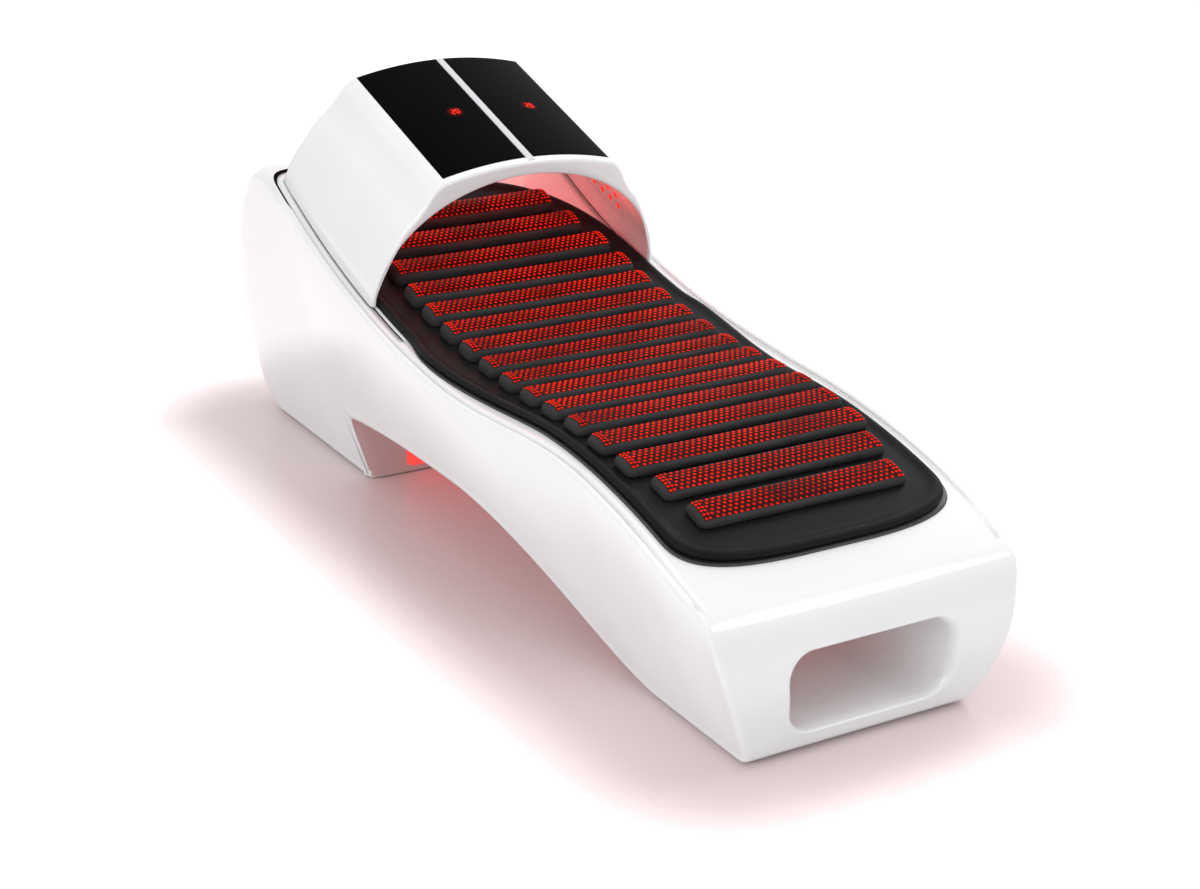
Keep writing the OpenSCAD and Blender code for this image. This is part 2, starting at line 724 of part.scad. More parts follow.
// Share of a bar's height at a distance in from its edge
bar_levels = [[4, 0], [0, 0.33], [2, 0.63], [7, 0.82], [18, 0.91], [30, 0.97], [38, 1]];
function bar_skin(d) =
    let (i = d < 2 ? 2 : d < 7 ? 3 : d < 18 ? 4 : d < 30 ? 5 : 6)
    lerp(bar_levels[i - 1][1], bar_levels[i][1],
        clamp01((d - bar_levels[i - 1][0]) / (bar_levels[i][0] - bar_levels[i - 1][0])));

function bar_loop(l, in, z) =
    let (w = bar_w / 2 - in, h = l / 2 - in, r = max(16 - in * 0.5, 1.5),
         rr = min(r, w - 0.4))
    [for (q = [0 : 3]) for (a = [0 : 30 : 90])
        let (sx = (q == 0 || q == 3) ? 1 : -1, sy = q < 2 ? 1 : -1, t = a + 90 * q)
        [sx * (w - rr) + rr * cos(t), sy * (h - rr) + rr * sin(t), z]];

// A solid of stacked loops with flat ends
module closed_loops(loops) {
    n = len(loops[0]);
    m = len(loops);
    top = (m - 1) * n;
    side = [for (k = [0 : m - 2]) for (i = [0 : n - 1])
        let (a = k * n + i, b = k * n + (i + 1) % n, c = a + n, d = b + n)
        for (f = [[a, c, d], [a, d, b]]) f];
    polyhedron(
        points = [for (l = loops) for (p = l) p],
        faces = concat(side,
            [for (i = [1 : n - 2]) [0, i, i + 1]],
            [for (i = [1 : n - 2]) [top, top + i + 1, top + i]]));
}

module on_bar(k) {
    x = bar_x(k);
    p = on_deck(x, pad_top + seat + 0.2 - drop(x));
    translate([p[0], 0, p[1]]) rotate([0, -deck_a(x), 0]) children();
}

module light_bar(k) {
    if (k < bar_n)
        color("#222222") on_bar(k)
        closed_loops([for (v = bar_levels)
            bar_loop(bar_len(k), v[0], v[1] * bar_height(k))]);
}

// Height of a light strip's underside on its bar
function strip_u(j) = (j - (row_n - 1) / 2) * (bar_w - 24) / row_n;
function strip_z(k, j, v, h) = seat + bar_height(k)
    * bar_skin(min(bar_w / 2 - abs(strip_u(j)) + strip_w / 2, h + 12 - abs(v)));

// Strips of lights that follow the crown of each bar
module led_strips() {
    color("red")
    for (k = [0 : bar_n - 1]) on_bar(k)
        for (j = [0 : row_n - 1]) {
            h = bar_len(k) / 2 - 10;
            vs = [-h, 8 - h, 20 - h, 28 - h, h - 28, h - 20, h - 8, h];
            translate([strip_u(j) - strip_w / 2, 0, 0])
                rotate([90, 0, 90]) linear_extrude(strip_w)
                polygon(concat([for (v = vs) [v, strip_z(k, j, v, h)]],
                    [for (v = flip(vs)) [v, strip_z(k, j, v, h) + strip_t]]));
        }
}

// Power supply in a folded metal case
module power_supply(s) {
    color("lightgray")
    translate([block_x - 230, s * 125, plate_z + plate_t + seat]) {
        difference() {
            translate([-105, -55, 0]) cube([210, 110, 48]);
            for (i = [0 : 8]) translate([-80 + i * 20, -30, 44]) cube([8, 60, 10]);
        }
        translate([105, -45, 6]) cube([14, 90, 18]);
    }
}

module power_supply_left() {
    power_supply(-1);
}

module power_supply_right() {
    power_supply(1);
}

// Driver board on four posts
module driver_board() {
    z0 = plate_z + plate_t + seat;
    color("darkgreen")
    translate([head_x + 330, 0, z0]) {
        translate([-70, -100, 12]) cube([140, 200, 2]);
        for (x = [-60, 60]) for (y = [-90, 90]) translate([x, y, 0]) cylinder(h = 12.5, r = 4);
        for (i = [0 : 3]) translate([-50, -80 + i * 44, 13.5]) cube([30, 26, 14]);
        for (i = [0 : 3]) translate([20, -72 + i * 44, 13.5]) cylinder(h = 22, r = 9);
    }
}

service_w = 300;
service_h = 170;
service_a = atan2(head_end(service_z + 60) - head_end(service_z - 60), 120);
// Puts a piece on the service panel: Z points out of the head end
module service_place() {
    translate([head_end(service_z), 0, service_z])
        rotate([0, -90 + service_a, 0]) rotate([0, 0, -90]) children();
}

// How far the shell curves away from the panel's plane at the panel's ends
function service_sag(d) = (head_end(service_z + d * cos(service_a)) - head_end(service_z))
    * cos(service_a) - d * cos(service_a) * sin(service_a);
panel_t = 3;
service_depth = wall + panel_t + 1.3
    + max(service_sag(service_h / 2), service_sag(-service_h / 2));
fan_x = -70;
socket_x = 70;
module service_panel() {
    color("#2c2c2c")
    service_place() translate([0, 0, -service_depth]) difference() {
        linear_extrude(panel_t) round_rect(service_w, service_h, 10);
        for (i = [-4 : 4])
            let (hw = root(pow(fan / 2 - 6, 2) - pow(i * 11, 2)))
            translate([fan_x - hw, i * 11 - 3, -5]) cube([2 * hw, 6, 20]);
        translate([socket_x - 24.5, -20, -5]) cube([49, 28, 20]);
        translate([socket_x - 11.5, 24, -5]) cube([23, 30, 20]);
    }
}

module fan_housing() {
    color("#202020")
    service_place() translate([fan_x, 0, -service_depth - seat - fan_t]) difference() {
        linear_extrude(fan_t) difference() {
            round_rect(fan, fan, 8);
            difference() {
                circle(fan / 2 - 3);
                circle(20);
                square([fan, 5], center = true);
                square([5, fan], center = true);
            }
        }
        translate([0, 0, 3]) cylinder(h = fan_t, r = fan / 2 - 3);
        translate([0, 0, -1]) cylinder(h = 5, r = 3 + run);
    }
}

// Fan rotor with seven pitched blades, turning in the housing
module fan_rotor() {
    color("#303030")
    service_place() translate([fan_x, 0, -service_depth - seat - fan_t]) {
        cylinder(h = 5, r = 3);
        translate([0, 0, 3.5]) cylinder(h = fan_t - 6, r = 19);
        for (i = [0 : 6]) rotate([0, 0, i * 360 / 7])
            translate([17, 0, fan_t / 2 + 0.5]) rotate([35, 0, 0])
            translate([0, -13, -0.8]) cube([fan / 2 - 24, 26, 1.6]);
    }
}

// Mains inlet with the housing of its rocker switch beside it
module power_inlet() {
    color("black")
    service_place() translate([socket_x, 0, -service_depth]) {
        difference() {
            union() {
                translate([-28, -23, panel_t + seat]) cube([56, 34, 2]);
                translate([-24, -19.5, -22]) cube([48, 27, 22 + 4]);
            }
            translate([-12, -15, -12]) cube([24, 17, 30]);
        }
        for (x = [-7, 0, 7]) translate([x - 1, -10, -13]) cube([2, 4, 12]);
        difference() {
            union() {
                translate([-15, 21, panel_t + seat]) cube([30, 36, 2]);
                translate([-11, 24.5, -16]) cube([22, 29, 20]);
            }
            translate([-8.5, 27, -13]) cube([17, 24, 30]);
            translate([-12, 39, 1]) rotate([0, 90, 0]) cylinder(h = 24, r = 1.5 + run);
        }
    }
}

module switch_rocker() {
    color("firebrick")
    service_place() translate([socket_x, 39, -service_depth + 1]) {
        rotate([0, 90, 0]) translate([0, 0, -11]) cylinder(h = 22, r = 1.5);
        translate([-8, 0, 0]) rotate([90, 0, 90]) linear_extrude(16)
            polygon([[-10, 3], [-10, 8], [0, 5.5], [10, 5], [10, 1], [4, -4], [-4, -4]]);
    }
}

// Where the hood stands: X across, Y up from the deck, Z back along the roof
hood_p = lounge_pt(hood_a0, lounge_r);
hood_tilt = (hood_a0 + hood_a1) / 2 - hood_pitch;
module hood_place() {
    translate([hood_p[0], 0, hood_p[1]]) rotate([0, hood_tilt, 0])
        rotate([0, 0, -90]) rotate([90, 0, 0]) children();
}

// Side of the hood, from the roof's edge down past the deck
roof_edge = hood_h - roof_drop;
half_w = body_w / 2 - hood_in;
roof_half = half_w - roof_in;
side_knots = [
    [roof_half - 20, roof_edge + 30], [roof_half, roof_edge],
    [lerp(roof_half, half_w, 0.15), roof_edge * 0.92],
    [lerp(roof_half, half_w, 0.26), roof_edge * 0.817],
    [lerp(roof_half, half_w, 0.39), roof_edge * 0.722],
    [lerp(roof_half, half_w, 0.575), roof_edge * 0.608],
    [lerp(roof_half, half_w, 0.76), roof_edge * 0.43],
    [lerp(roof_half, half_w, 0.9), roof_edge * 0.252],
    [half_w - 1.5, roof_edge * 0.096], [half_w, 0], [half_w + 1, -110], [half_w + 1, -200]];
function spline(p, i, t) =
    let (a = p[i - 1], b = p[i], c = p[i + 1], d = p[i + 2])
    0.5 * (2 * b + (c - a) * t + (2 * a - 5 * b + 4 * c - d) * t * t
        + (3 * b - a - 3 * c + d) * t * t * t);
side_line = [for (i = [1 : len(side_knots) - 3]) for (t = [0, 1 / 3, 2 / 3])
    spline(side_knots, i, t)];
roof_r = (roof_half * roof_half + roof_drop * roof_drop) / (2 * roof_drop);
function roof_y(u) = hood_h - roof_r + root(roof_r * roof_r - u * u);
roof_line = [for (i = [0 : 9]) let (u = roof_half * i / 10) [u, roof_y(u)]];

// A line drawn in to its left by a distance
function drawn_in(p, d) =
    [for (i = [0 : len(p) - 1])
        let (a = p[max(i - 1, 0)], b = p[min(i + 1, len(p) - 1)], v = b - a, n = norm(v))
        p[i] + d * [v[1], -v[0]] / n * -1];
function both_sides(line) =
    concat([for (p = flip(line)) [-p[0], p[1]]], line);

module hood_outline() {
    polygon(both_sides(concat(roof_line, side_line)));
}

module hood_hollow() {
    polygon(both_sides(concat(
        [for (i = [0 : 7]) let (u = (roof_half - 9) * i / 8) [u, roof_y(u) - roof_t]],
        [for (p = drawn_in(side_line, -skin)) if (p[1] < roof_edge - roof_t - 2) p])));
}

inner_half = half_w - skin - 6.5 - lining;
function arch_line(a, b) =
    concat([[a, -200]], [for (t = [0 : 6 : 180]) [a * cos(t), b * sin(t)]], [[-a, -200]]);

// Leaves what lies between the hood's raked ends and above the track
module hood_trim(end_in) {
    intersection() {
        children();
        translate([waist_x, 0, lounge_z]) rotate([90, 0, 0])
            cylinder(h = 2 * body_w, r = lounge_r + deck_drop - gap - 0.5, center = true,
                $fn = 720);
        hood_place() rotate([0, 0, 0]) hood_block(end_in);
    }
}
module hood_block(end_in) {
    rise = 420 * tan(hood_rake);
    rotate([0, -90, 0]) translate([0, 0, -body_w]) linear_extrude(2 * body_w)
        polygon([[end_in - rise / 2, -210], [end_in + rise, 420],
            [hood_l - end_in - rise, 420], [hood_l - end_in + 20, -210]]);
}

module hood_solid(z0, z1) {
    hood_place() translate([0, 0, z0]) linear_extrude(z1 - z0) children();
}

lip = 14;
glass_z0 = lip + 6;
glass_z1 = hood_l - lip - 8;
module hood_shell() {
    color("white")
    hood_trim(0) difference() {
        hood_solid(-60, hood_l + 60) difference() {
            hood_outline();
            polygon(arch_line(inner_half + lining + seat, inner_h + lining + seat));
        }
        hood_solid(lip + 12, hood_l - lip - 12) hood_hollow();
        // Pocket for the glass and the spine, with a window under each display
        hood_solid(glass_z0 - 0.5, glass_z1 + 0.5)
            roof_band(8 - roof_half, roof_half - 8, glass_t + 0.3, 20);
        for (u = [roof_half * 0.33, -roof_half * 0.55]) hood_place()
            translate([u, hood_h, hood_l * 0.5])
            cube([66, 60, 34], center = true);
    }
}

// Band of the roof's section between two places across, from a depth up to a height
module roof_band(u0, u1, down, up) {
    us = [for (i = [0 : 12]) lerp(u0, u1, i / 12)];
    polygon(concat([for (u = us) [u, roof_y(u) + up]],
        [for (u = flip(us)) [u, roof_y(u) - down]]));
}

module glass(s) {
    color("#0a0a0c")
    hood_solid(glass_z0, glass_z1) mirror([s > 0 ? 1 : 0, 0])
        roof_band(spine_w / 2 + 0.5, roof_half - 8.5, glass_t, 0.4);
}

module glass_left() {
    glass(-1);
}

module glass_right() {
    glass(1);
}

module spine_trim() {
    color("gainsboro")
    hood_solid(glass_z0, glass_z1 - 2)
        polygon([[-spine_w / 2, hood_h - glass_t], [-spine_w / 2, hood_h + 0.8],
            [-spine_w / 2 + 3, hood_h + 2.4], [spine_w / 2 - 3, hood_h + 2.4],
            [spine_w / 2, hood_h + 0.8], [spine_w / 2, hood_h - glass_t]]);
}

// Display module that looks up through the glass
module display(s, u) {
    z = roof_y(u) - glass_t - seat;
    a = asin(u / roof_r);
    color("#300000")
    hood_place() translate([-s * u, z, hood_l / 2]) rotate([0, 0, s * a])
        translate([-30, -14, -13]) {
            cube([60, 12.5, 26]);
            translate([6, 1.4, 3]) cube([48, 12, 20]);
        }
}

module display_left() {
    display(-1, roof_half * 0.33);
}

module display_right() {
    display(1, roof_half * 0.55);
}

module hood_liner() {
    color("lavenderblush")
    hood_trim(0.5) difference() {
        hood_solid(-60, hood_l + 60) difference() {
            polygon(arch_line(inner_half + lining, inner_h + lining));
            polygon(arch_line(inner_half, inner_h));
        }
        for (s = [-1, 1]) light_window(s, 0, 10);
    }
}

light_t0 = 11.5;
light_t1 = 38;
light_s0 = 132;
light_s1 = 352;
// Place of a light panel on the hood's inner wall
module light_window(s, in, deep) {
    ts = [for (i = [0 : 6]) lerp(light_t0 + in, light_t1 - in, i / 6)];
    hood_solid(light_s0 + in * 4, light_s1 - in * 4)
        polygon(concat(
            [for (t = ts) [-s * (inner_half - deep) * cos(t), (inner_h - deep) * sin(t)]],
            [for (t = flip(ts)) [-s * (inner_half + deep) * cos(t),
                (inner_h + deep) * sin(t)]]));
}

// Light panel in the hood's wall, with three rows of round lights
module hood_light(s) {
    ts = [for (i = [0 : 6]) lerp(light_t0 + 0.1, light_t1 - 0.1, i / 6)];
    color("red") {
        hood_solid(light_s0 + 0.5, light_s1 - 0.5)
            polygon(concat(
                [for (t = ts) [-s * (inner_half + 0.6) * cos(t), (inner_h + 0.6) * sin(t)]],
                [for (t = flip(ts)) [-s * (inner_half + lining) * cos(t),
                    (inner_h + lining) * sin(t)]]));
        hood_place() for (t = [16, 23, 30]) for (i = [0 : 4])
            translate([-s * inner_half * cos(t), inner_h * sin(t), light_s0 + 23 + i * 44])
            rotate([0, 0, -s * (90 - atan2(inner_half * sin(t), inner_h * cos(t)))])
            rotate([90, 0, 0]) cylinder(h = 3, r = 5, center = true);
    }
}

module hood_light_left() {
    hood_light(-1);
}

module hood_light_right() {
    hood_light(1);
}

carriage_t = 3.5;
carriage_y = half_w - skin - 1.5 - carriage_t - 0.5;
roller_y = rail_y + rail_t + (rail_w - roller_w) / 2 + 1;

// Plate that hangs from the hood through the slot and carries two axles
module carriage() {
    across_y(carriage_y, carriage_y + carriage_t)
        lounge_band(plate_a0, plate_a1, lounge_r - 10, track_r + 20);
    for (a = [wheel_a0, wheel_a1]) {
        p = lounge_pt(a, track_r);
        translate([p[0], 0, p[1]]) {
            translate([0, carriage_y + 1, 0]) rotate([90, 0, 0])
                cylinder(h = carriage_y + 1 - roller_y + 1, r = axle_r);
            translate([0, carriage_y + 1, 0]) rotate([90, 0, 0])
                cylinder(h = carriage_y + 1 - roller_y - roller_w - 0.5, r = axle_r + 3);
        }
    }
}

module carriage_left() {
    color("dimgray") mirror([0, 1, 0]) carriage();
}

module carriage_right() {
    color("dimgray") carriage();
}

// Roller on its axle: side is -1 on the left and 1 on the right
module roller(a, side) {
    p = lounge_pt(a, track_r);
    color("#404040")
    translate([p[0], side * (roller_y + roller_w / 2), p[1]]) rotate([90, 0, 0])
        difference() {
            cylinder(h = roller_w, r = roller_r, center = true);
            cylinder(h = roller_w + 2, r = axle_r + run, center = true);
        }
}

module roller_front_left() {
    roller(wheel_a0, -1);
}

module roller_rear_left() {
    roller(wheel_a1, -1);
}

module roller_front_right() {
    roller(wheel_a0, 1);
}

module roller_rear_right() {
    roller(wheel_a1, 1);
}

body_shell();
head_shell();
foot_shell();
deck_panel();
belly_panel();
foot_tunnel();
glow_box();
glow_lens();
head_base();
foot_base();
rubber_feet();
chassis();
rail_left();
rail_right();
tray_plate();
pad();
light_bar(0);  // light_bar_01
light_bar(1);  // light_bar_02
light_bar(2);  // light_bar_03
light_bar(3);  // light_bar_04
light_bar(4);  // light_bar_05
light_bar(5);  // light_bar_06
light_bar(6);  // light_bar_07
light_bar(7);  // light_bar_08
light_bar(8);  // light_bar_09
light_bar(9);  // light_bar_10
light_bar(10);  // light_bar_11
light_bar(11);  // light_bar_12
light_bar(12);  // light_bar_13
light_bar(13);  // light_bar_14
light_bar(14);  // light_bar_15
light_bar(15);  // light_bar_16
led_strips();
power_supply_left();
power_supply_right();
driver_board();
service_panel();
fan_housing();
fan_rotor();
power_inlet();
switch_rocker();
hood_shell();
hood_liner();
glass_left();
glass_right();
spine_trim();
display_left();
display_right();
hood_light_left();
hood_light_right();
carriage_left();
carriage_right();
roller_front_left();
roller_rear_left();
roller_front_right();
roller_rear_right();
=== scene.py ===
"""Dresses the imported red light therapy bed: finer shells, upholstery, lights, floor and camera.

The shapes repeat the formulas of part.scad, in millimetres, and are put into the scene in metres.
X runs from the head end to the foot end, Y across the bed and Z up.
"""

import math

import bmesh
import bpy
import numpy as np
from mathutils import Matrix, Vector
from mathutils.bvhtree import BVHTree


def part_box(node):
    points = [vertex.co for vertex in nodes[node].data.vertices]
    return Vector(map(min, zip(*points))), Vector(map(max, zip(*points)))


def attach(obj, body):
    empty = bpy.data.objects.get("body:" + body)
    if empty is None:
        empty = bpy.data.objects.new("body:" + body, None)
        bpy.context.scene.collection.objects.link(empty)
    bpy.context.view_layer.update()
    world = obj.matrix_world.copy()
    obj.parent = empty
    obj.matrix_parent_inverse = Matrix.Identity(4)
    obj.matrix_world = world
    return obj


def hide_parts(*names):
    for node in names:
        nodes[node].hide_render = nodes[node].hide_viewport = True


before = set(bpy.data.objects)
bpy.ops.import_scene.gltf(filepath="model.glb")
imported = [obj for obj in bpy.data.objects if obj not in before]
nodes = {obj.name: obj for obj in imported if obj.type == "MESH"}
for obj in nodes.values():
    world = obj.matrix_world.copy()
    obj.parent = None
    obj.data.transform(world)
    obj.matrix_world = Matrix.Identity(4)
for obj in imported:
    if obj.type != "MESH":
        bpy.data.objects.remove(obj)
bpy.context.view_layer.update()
MM = 0.001

# ---- sizes, as in part.scad
HEAD_X, FOOT_X = -1275.0, 1275.0
# Half the width at the deck's head part, at its leg part and at the floor
BODY_H, LEG_H, BASE_H = 430.0, 389.0, 275.0
SEAT_H, LOUNGE_R, LEG_R = 496.0, 2550.0, 1650.0
WAIST_X, LEVEL_X = 445.0, 540.0
LOUNGE_Z = SEAT_H + LOUNGE_R
CREST_X0, CREST_R = -720.0, 170.0
CREST_A = math.asin((WAIST_X - CREST_X0) / LOUNGE_R)
CREST_X = CREST_X0 - CREST_R * math.sin(CREST_A)
CREST_Z = LOUNGE_Z - LOUNGE_R * math.cos(CREST_A) + CREST_R * (1 - math.cos(CREST_A))
FOOT_C, HEAD_C, HEEL_R = 14.0, 80.0, 95.0
HEM_R, FEET_H = 22.0, 4.0
# The bead round the deck: width, radius, rise, and the deck's drop inside it and at the foot
BEAD_W, BEAD_R, BEAD_RISE, DROP, FOOT_DROP = 16.0, 8.0, 9.0, 5.0, 0.6
ARCH_H, ARCH_FOOT, ARCH_TOP, BLOCK_X, ARCH_FALL = 245.0, 980.0, 200.0, -525.0, 60.0
TUN_W, TUN_H, TUN_Z, TUN_R = 334.0, 154.0, 62.0, 45.0
# The tunnel's mouth is wider at the face, and narrows over its depth
MOUTH_W, MOUTH_H, MOUTH_Z, MOUTH_R, MOUTH_GROW, MOUTH_DEEP = 386.0, 172.0, 63.0, 58.0, 20.0, 48.0
MOUTH_TURN = 60
# The foot's face is an upright arc: its most forward place, its radius and the arc's middle height
FACE_X, FACE_R, FACE_Z = 1312.0, 320.0, 172.0
FOOT_IN = 15.0
# The nose between the face and the deck: its reach along the deck and how far it lies under it
NOSE_REACH, NOSE_SINK = 30.0, 0.45
# Where the foot's corner ends, and where the head block's upright columns start
CORNER_X, X_SPLIT = 1209.0, -620.0
# The opening over the service panel in the head end: middle height, width, height, corner, depth
SERVICE_Z, SERVICE_W, SERVICE_H, SERVICE_R, SERVICE_IN = 255.0, 284.0, 154.0, 14.0, 12.0


def lerp(a, b, t):
    return a + (b - a) * t


def smooth(t):
    c = np.clip(t, 0, 1)
    return c * c * (3 - 2 * c)


def root(v):
    return np.sqrt(np.maximum(v, 0))


def arc(n, a0=0, a1=90):
    """A number of angles in radians, between two in degrees."""
    return np.radians(np.linspace(a0, a1, n))


def points(x, y, z):
    return np.stack(np.broadcast_arrays(x, y, z), axis=-1)


def deck_z(x):
    z = np.where(
        x < WAIST_X,
        LOUNGE_Z - root(LOUNGE_R**2 - (x - WAIST_X) ** 2),
        np.where(x < LEVEL_X, SEAT_H, SEAT_H - LEG_R + root(LEG_R**2 - (x - LEVEL_X) ** 2)),
    )
    z = np.where(x < CREST_X0, CREST_Z - CREST_R + root(CREST_R**2 - (x - CREST_X) ** 2), z)
    return np.where(x <= CREST_X, CREST_Z, z)


def deck_a(x):
    return np.arctan2(deck_z(x + 1) - deck_z(x - 1), 2)


def on_deck(x, up):
    a = deck_a(x)
    return x - up * np.sin(a), deck_z(x) + up * np.cos(a)


def deck_half(x):
    return lerp(BODY_H, LEG_H, smooth((x - (WAIST_X - 245)) / 600)) - FOOT_IN * smooth((x - 1100) / 210)


def drop(x):
    return lerp(FOOT_DROP, DROP, smooth((FOOT_X - 60 - x) / 400))


def arch_z(x):
    up = ARCH_H * smooth((ARCH_FOOT - x) / (ARCH_FOOT - ARCH_TOP))
    flat = ARCH_H - ARCH_FALL * (np.maximum(ARCH_TOP - x, 0) / (ARCH_TOP - BLOCK_X)) ** 2
    return np.where(x >= ARCH_FOOT, 0, np.where(x > ARCH_TOP, up, flat))


def head_end(z):
    t = np.clip((z - HEEL_R) / (CREST_Z - HEEL_R), 0, 1)
    up = CREST_X - (CREST_X - HEAD_X) * root(1 - t**1.16) ** 0.8
    low = HEAD_X + HEEL_R - root(HEEL_R**2 - (HEEL_R - z) ** 2)
    return np.where(z < HEEL_R, low, up)


def foot_end(z):
    return FACE_X - FACE_R + root(FACE_R**2 - (z - FACE_Z) ** 2)


def side_w(x, z, top):
    """Half the width at a height; the rolled lower edge stands straight under its start."""
    s = np.clip(np.maximum(z, FEET_H + HEM_R) / top, 0, 1)
    return BASE_H + (deck_half(x) - BASE_H) * (1 - (1 - s) ** 1.5)


# ---- meshes
def shade(me, sharp=None):
    """Smooth shading, which keeps edges over an angle in degrees sharp."""
    for p in me.polygons:
        p.use_smooth = True
    if sharp is not None:
        me.set_sharp_from_angle(angle=math.radians(sharp))


def make(name, verts, faces, body, mat):
    me = bpy.data.meshes.new(name)
    me.from_pydata((np.asarray(verts, float) * MM).tolist(), [], [tuple(f) for f in faces])
    me.validate()
    shade(me)
    ob = bpy.data.objects.new(name, me)
    bpy.context.scene.collection.objects.link(ob)
    me.materials.append(mat)
    if body:
        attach(ob, body)
    return ob


def thicken(ob, thickness):
    solid = ob.modifiers.new("thickness", "SOLIDIFY")
    solid.thickness, solid.offset = thickness * MM, -1


class Parts:
    """Collects grids into one mesh."""

    def __init__(self):
        self.v, self.f = [], []

    def grid(self, pts, close_v=False, flip=False):
        """Quads between rows of points; close_v joins the end of each row to its start."""
        pts = np.asarray(pts, float)
        nu, nv = pts.shape[:2]
        base = len(self.v)
        self.v += pts.reshape(-1, 3).tolist()
        for i in range(nu - 1):
            for j in range(nv if close_v else nv - 1):
                a = base + i * nv + j
                d = base + i * nv + (j + 1) % nv
                self.f.append((a, d, d + nv, a + nv) if flip else (a, a + nv, d + nv, d))

    def both(self, pts, flip=False):
        """The grid and its mirror image across the bed's middle line."""
        self.grid(pts, flip=flip)
        self.grid(np.array(pts) * (1, -1, 1), flip=not flip)

    def make(self, name, body, mat, weld=0.02, sharp=None):
        ob = make(name, self.v, self.f, body, mat)
        bm = bmesh.new()
        bm.from_mesh(ob.data)
        bmesh.ops.remove_doubles(bm, verts=bm.verts, dist=weld * MM)
        bmesh.ops.dissolve_degenerate(bm, edges=bm.edges, dist=0.01 * MM)
        bm.to_mesh(ob.data)
        bm.free()
        shade(ob.data, sharp)
        return ob


# ---- materials
def new_mat(name):
    m = bpy.data.materials.new(name)
    m.use_nodes = True
    return m, m.node_tree, m.node_tree.nodes["Principled BSDF"]


def put(nt, socket, value):
    """Gives a socket a value, or links it where the value is another node's socket."""
    if isinstance(value, bpy.types.NodeSocket):
        nt.links.new(value, socket)
    else:
        socket.default_value = value


def feed(nt, n, **inputs):
    for key, value in inputs.items():
        put(nt, n.inputs[key.replace("_", " ")], value)
    return n


def node(nt, kind, **inputs):
    return feed(nt, nt.nodes.new(kind), **inputs)


def coords(nt):
    return nt.nodes.new("ShaderNodeTexCoord").outputs["Object"]


def noise(nt, v, scale, detail):
    return node(nt, "ShaderNodeTexNoise", Vector=v, Scale=scale, Detail=detail).outputs["Fac"]


def spread(nt, value, low, high, **limits):
    """Brings a value from 0 to 1, or from other limits, to the range low to high."""
    return node(nt, "ShaderNodeMapRange", Value=value, To_Min=low, To_Max=high, **limits)


def finish(nt, b, look, gloss, smoothest, roughest, height, strength, distance):
    """A shader's colour, its roughness between two values, and its bumps."""
    relief = node(nt, "ShaderNodeBump", Height=height, Strength=strength, Distance=distance)
    roughness = spread(nt, gloss, smoothest, roughest).outputs["Result"]
    feed(nt, b, Base_Color=look, Roughness=roughness, Normal=relief.outputs["Normal"])


def work_out(nt, kind, operation, *values):
    n = nt.nodes.new("ShaderNode" + kind)
    n.operation = operation
    for socket, value in zip(n.inputs, values):
        put(nt, socket, value)
    return n.outputs


def arithmetic(nt, operation, *values):
    return work_out(nt, "Math", operation, *values)[0]


def mixed(nt, factor, a, b):
    """A mix of two colours."""
    n = nt.nodes.new("ShaderNodeMix")
    n.data_type = "RGBA"
    for i, value in ((0, factor), (6, a), (7, b)):
        put(nt, n.inputs[i], value)
    return n.outputs[2]


def ramp(nt, fac, p0, c0, p1, c1):
    """A colour ramp from one colour at a place to another colour at a further place."""
    r = node(nt, "ShaderNodeValToRGB", Fac=fac)
    for element, place, colour in zip(r.color_ramp.elements, (p0, p1), (c0, c1)):
        element.position, element.color = place, colour
    return r.outputs["Color"]


def rgb(v, k=1.0):
    return (v[0] * k, v[1] * k, v[2] * k, 1.0)


def moulded(name, colour, rough=0.22, coat=0.6, ripple=0.02, painted_glow_tint=None):
    """Gloss moulded plastic: faint cloudiness, a slow ripple of the skin and fine dust specks."""
    m, nt, b = new_mat(name)
    v = coords(nt)
    specks = noise(nt, v, 900.0, 2.0)
    # A painted glow tint, where given, colours the cloudy patches instead: the liner's redder painted
    # glow.
    cloudy = rgb(painted_glow_tint) if painted_glow_tint else rgb(colour, 0.965)
    look = ramp(nt, noise(nt, v, 5.0, 4.0), 0.3, rgb(colour), 0.75, cloudy)
    height = arithmetic(nt, "MULTIPLY_ADD", specks, 0.012, noise(nt, v, 9.0, 2.0))
    finish(nt, b, look, specks, rough - 0.04, rough + 0.06, height, ripple, 0.002)
    feed(nt, b, Coat_Weight=coat, Coat_Roughness=0.06)
    return m


def vinyl(name, colour, rough=0.5, scale=700.0, strength=0.25, glow=None, shine=0.35):
    """Vinyl: a fine pebbled grain over slow wrinkles. Where the attribute lit is high it is darker and
    has a painted red glow of the lights.
    """
    m, nt, b = new_mat(name)
    v = coords(nt)
    pebbles = node(nt, "ShaderNodeTexVoronoi", Vector=v, Scale=scale)
    pebbles.feature = "SMOOTH_F1"
    cloud = noise(nt, v, 14.0, 5.0)
    look = ramp(nt, cloud, 0.25, rgb(colour, 0.85), 0.8, rgb(colour, 1.25))
    height = arithmetic(nt, "MULTIPLY_ADD", pebbles.outputs["Distance"], -0.5, cloud)
    if glow:
        lit = nt.nodes.new("ShaderNodeAttribute")
        lit.attribute_name = "lit"
        look = mixed(nt, lit.outputs["Fac"], look, (0.002, 0.001, 0.001, 1))
        feed(nt, b, Emission_Color=rgb(glow), Emission_Strength=lit.outputs["Fac"])
    finish(nt, b, look, cloud, rough - 0.07, rough + 0.1, height, strength, 0.0008)
    feed(nt, b, Specular_IOR_Level=shine)
    return m


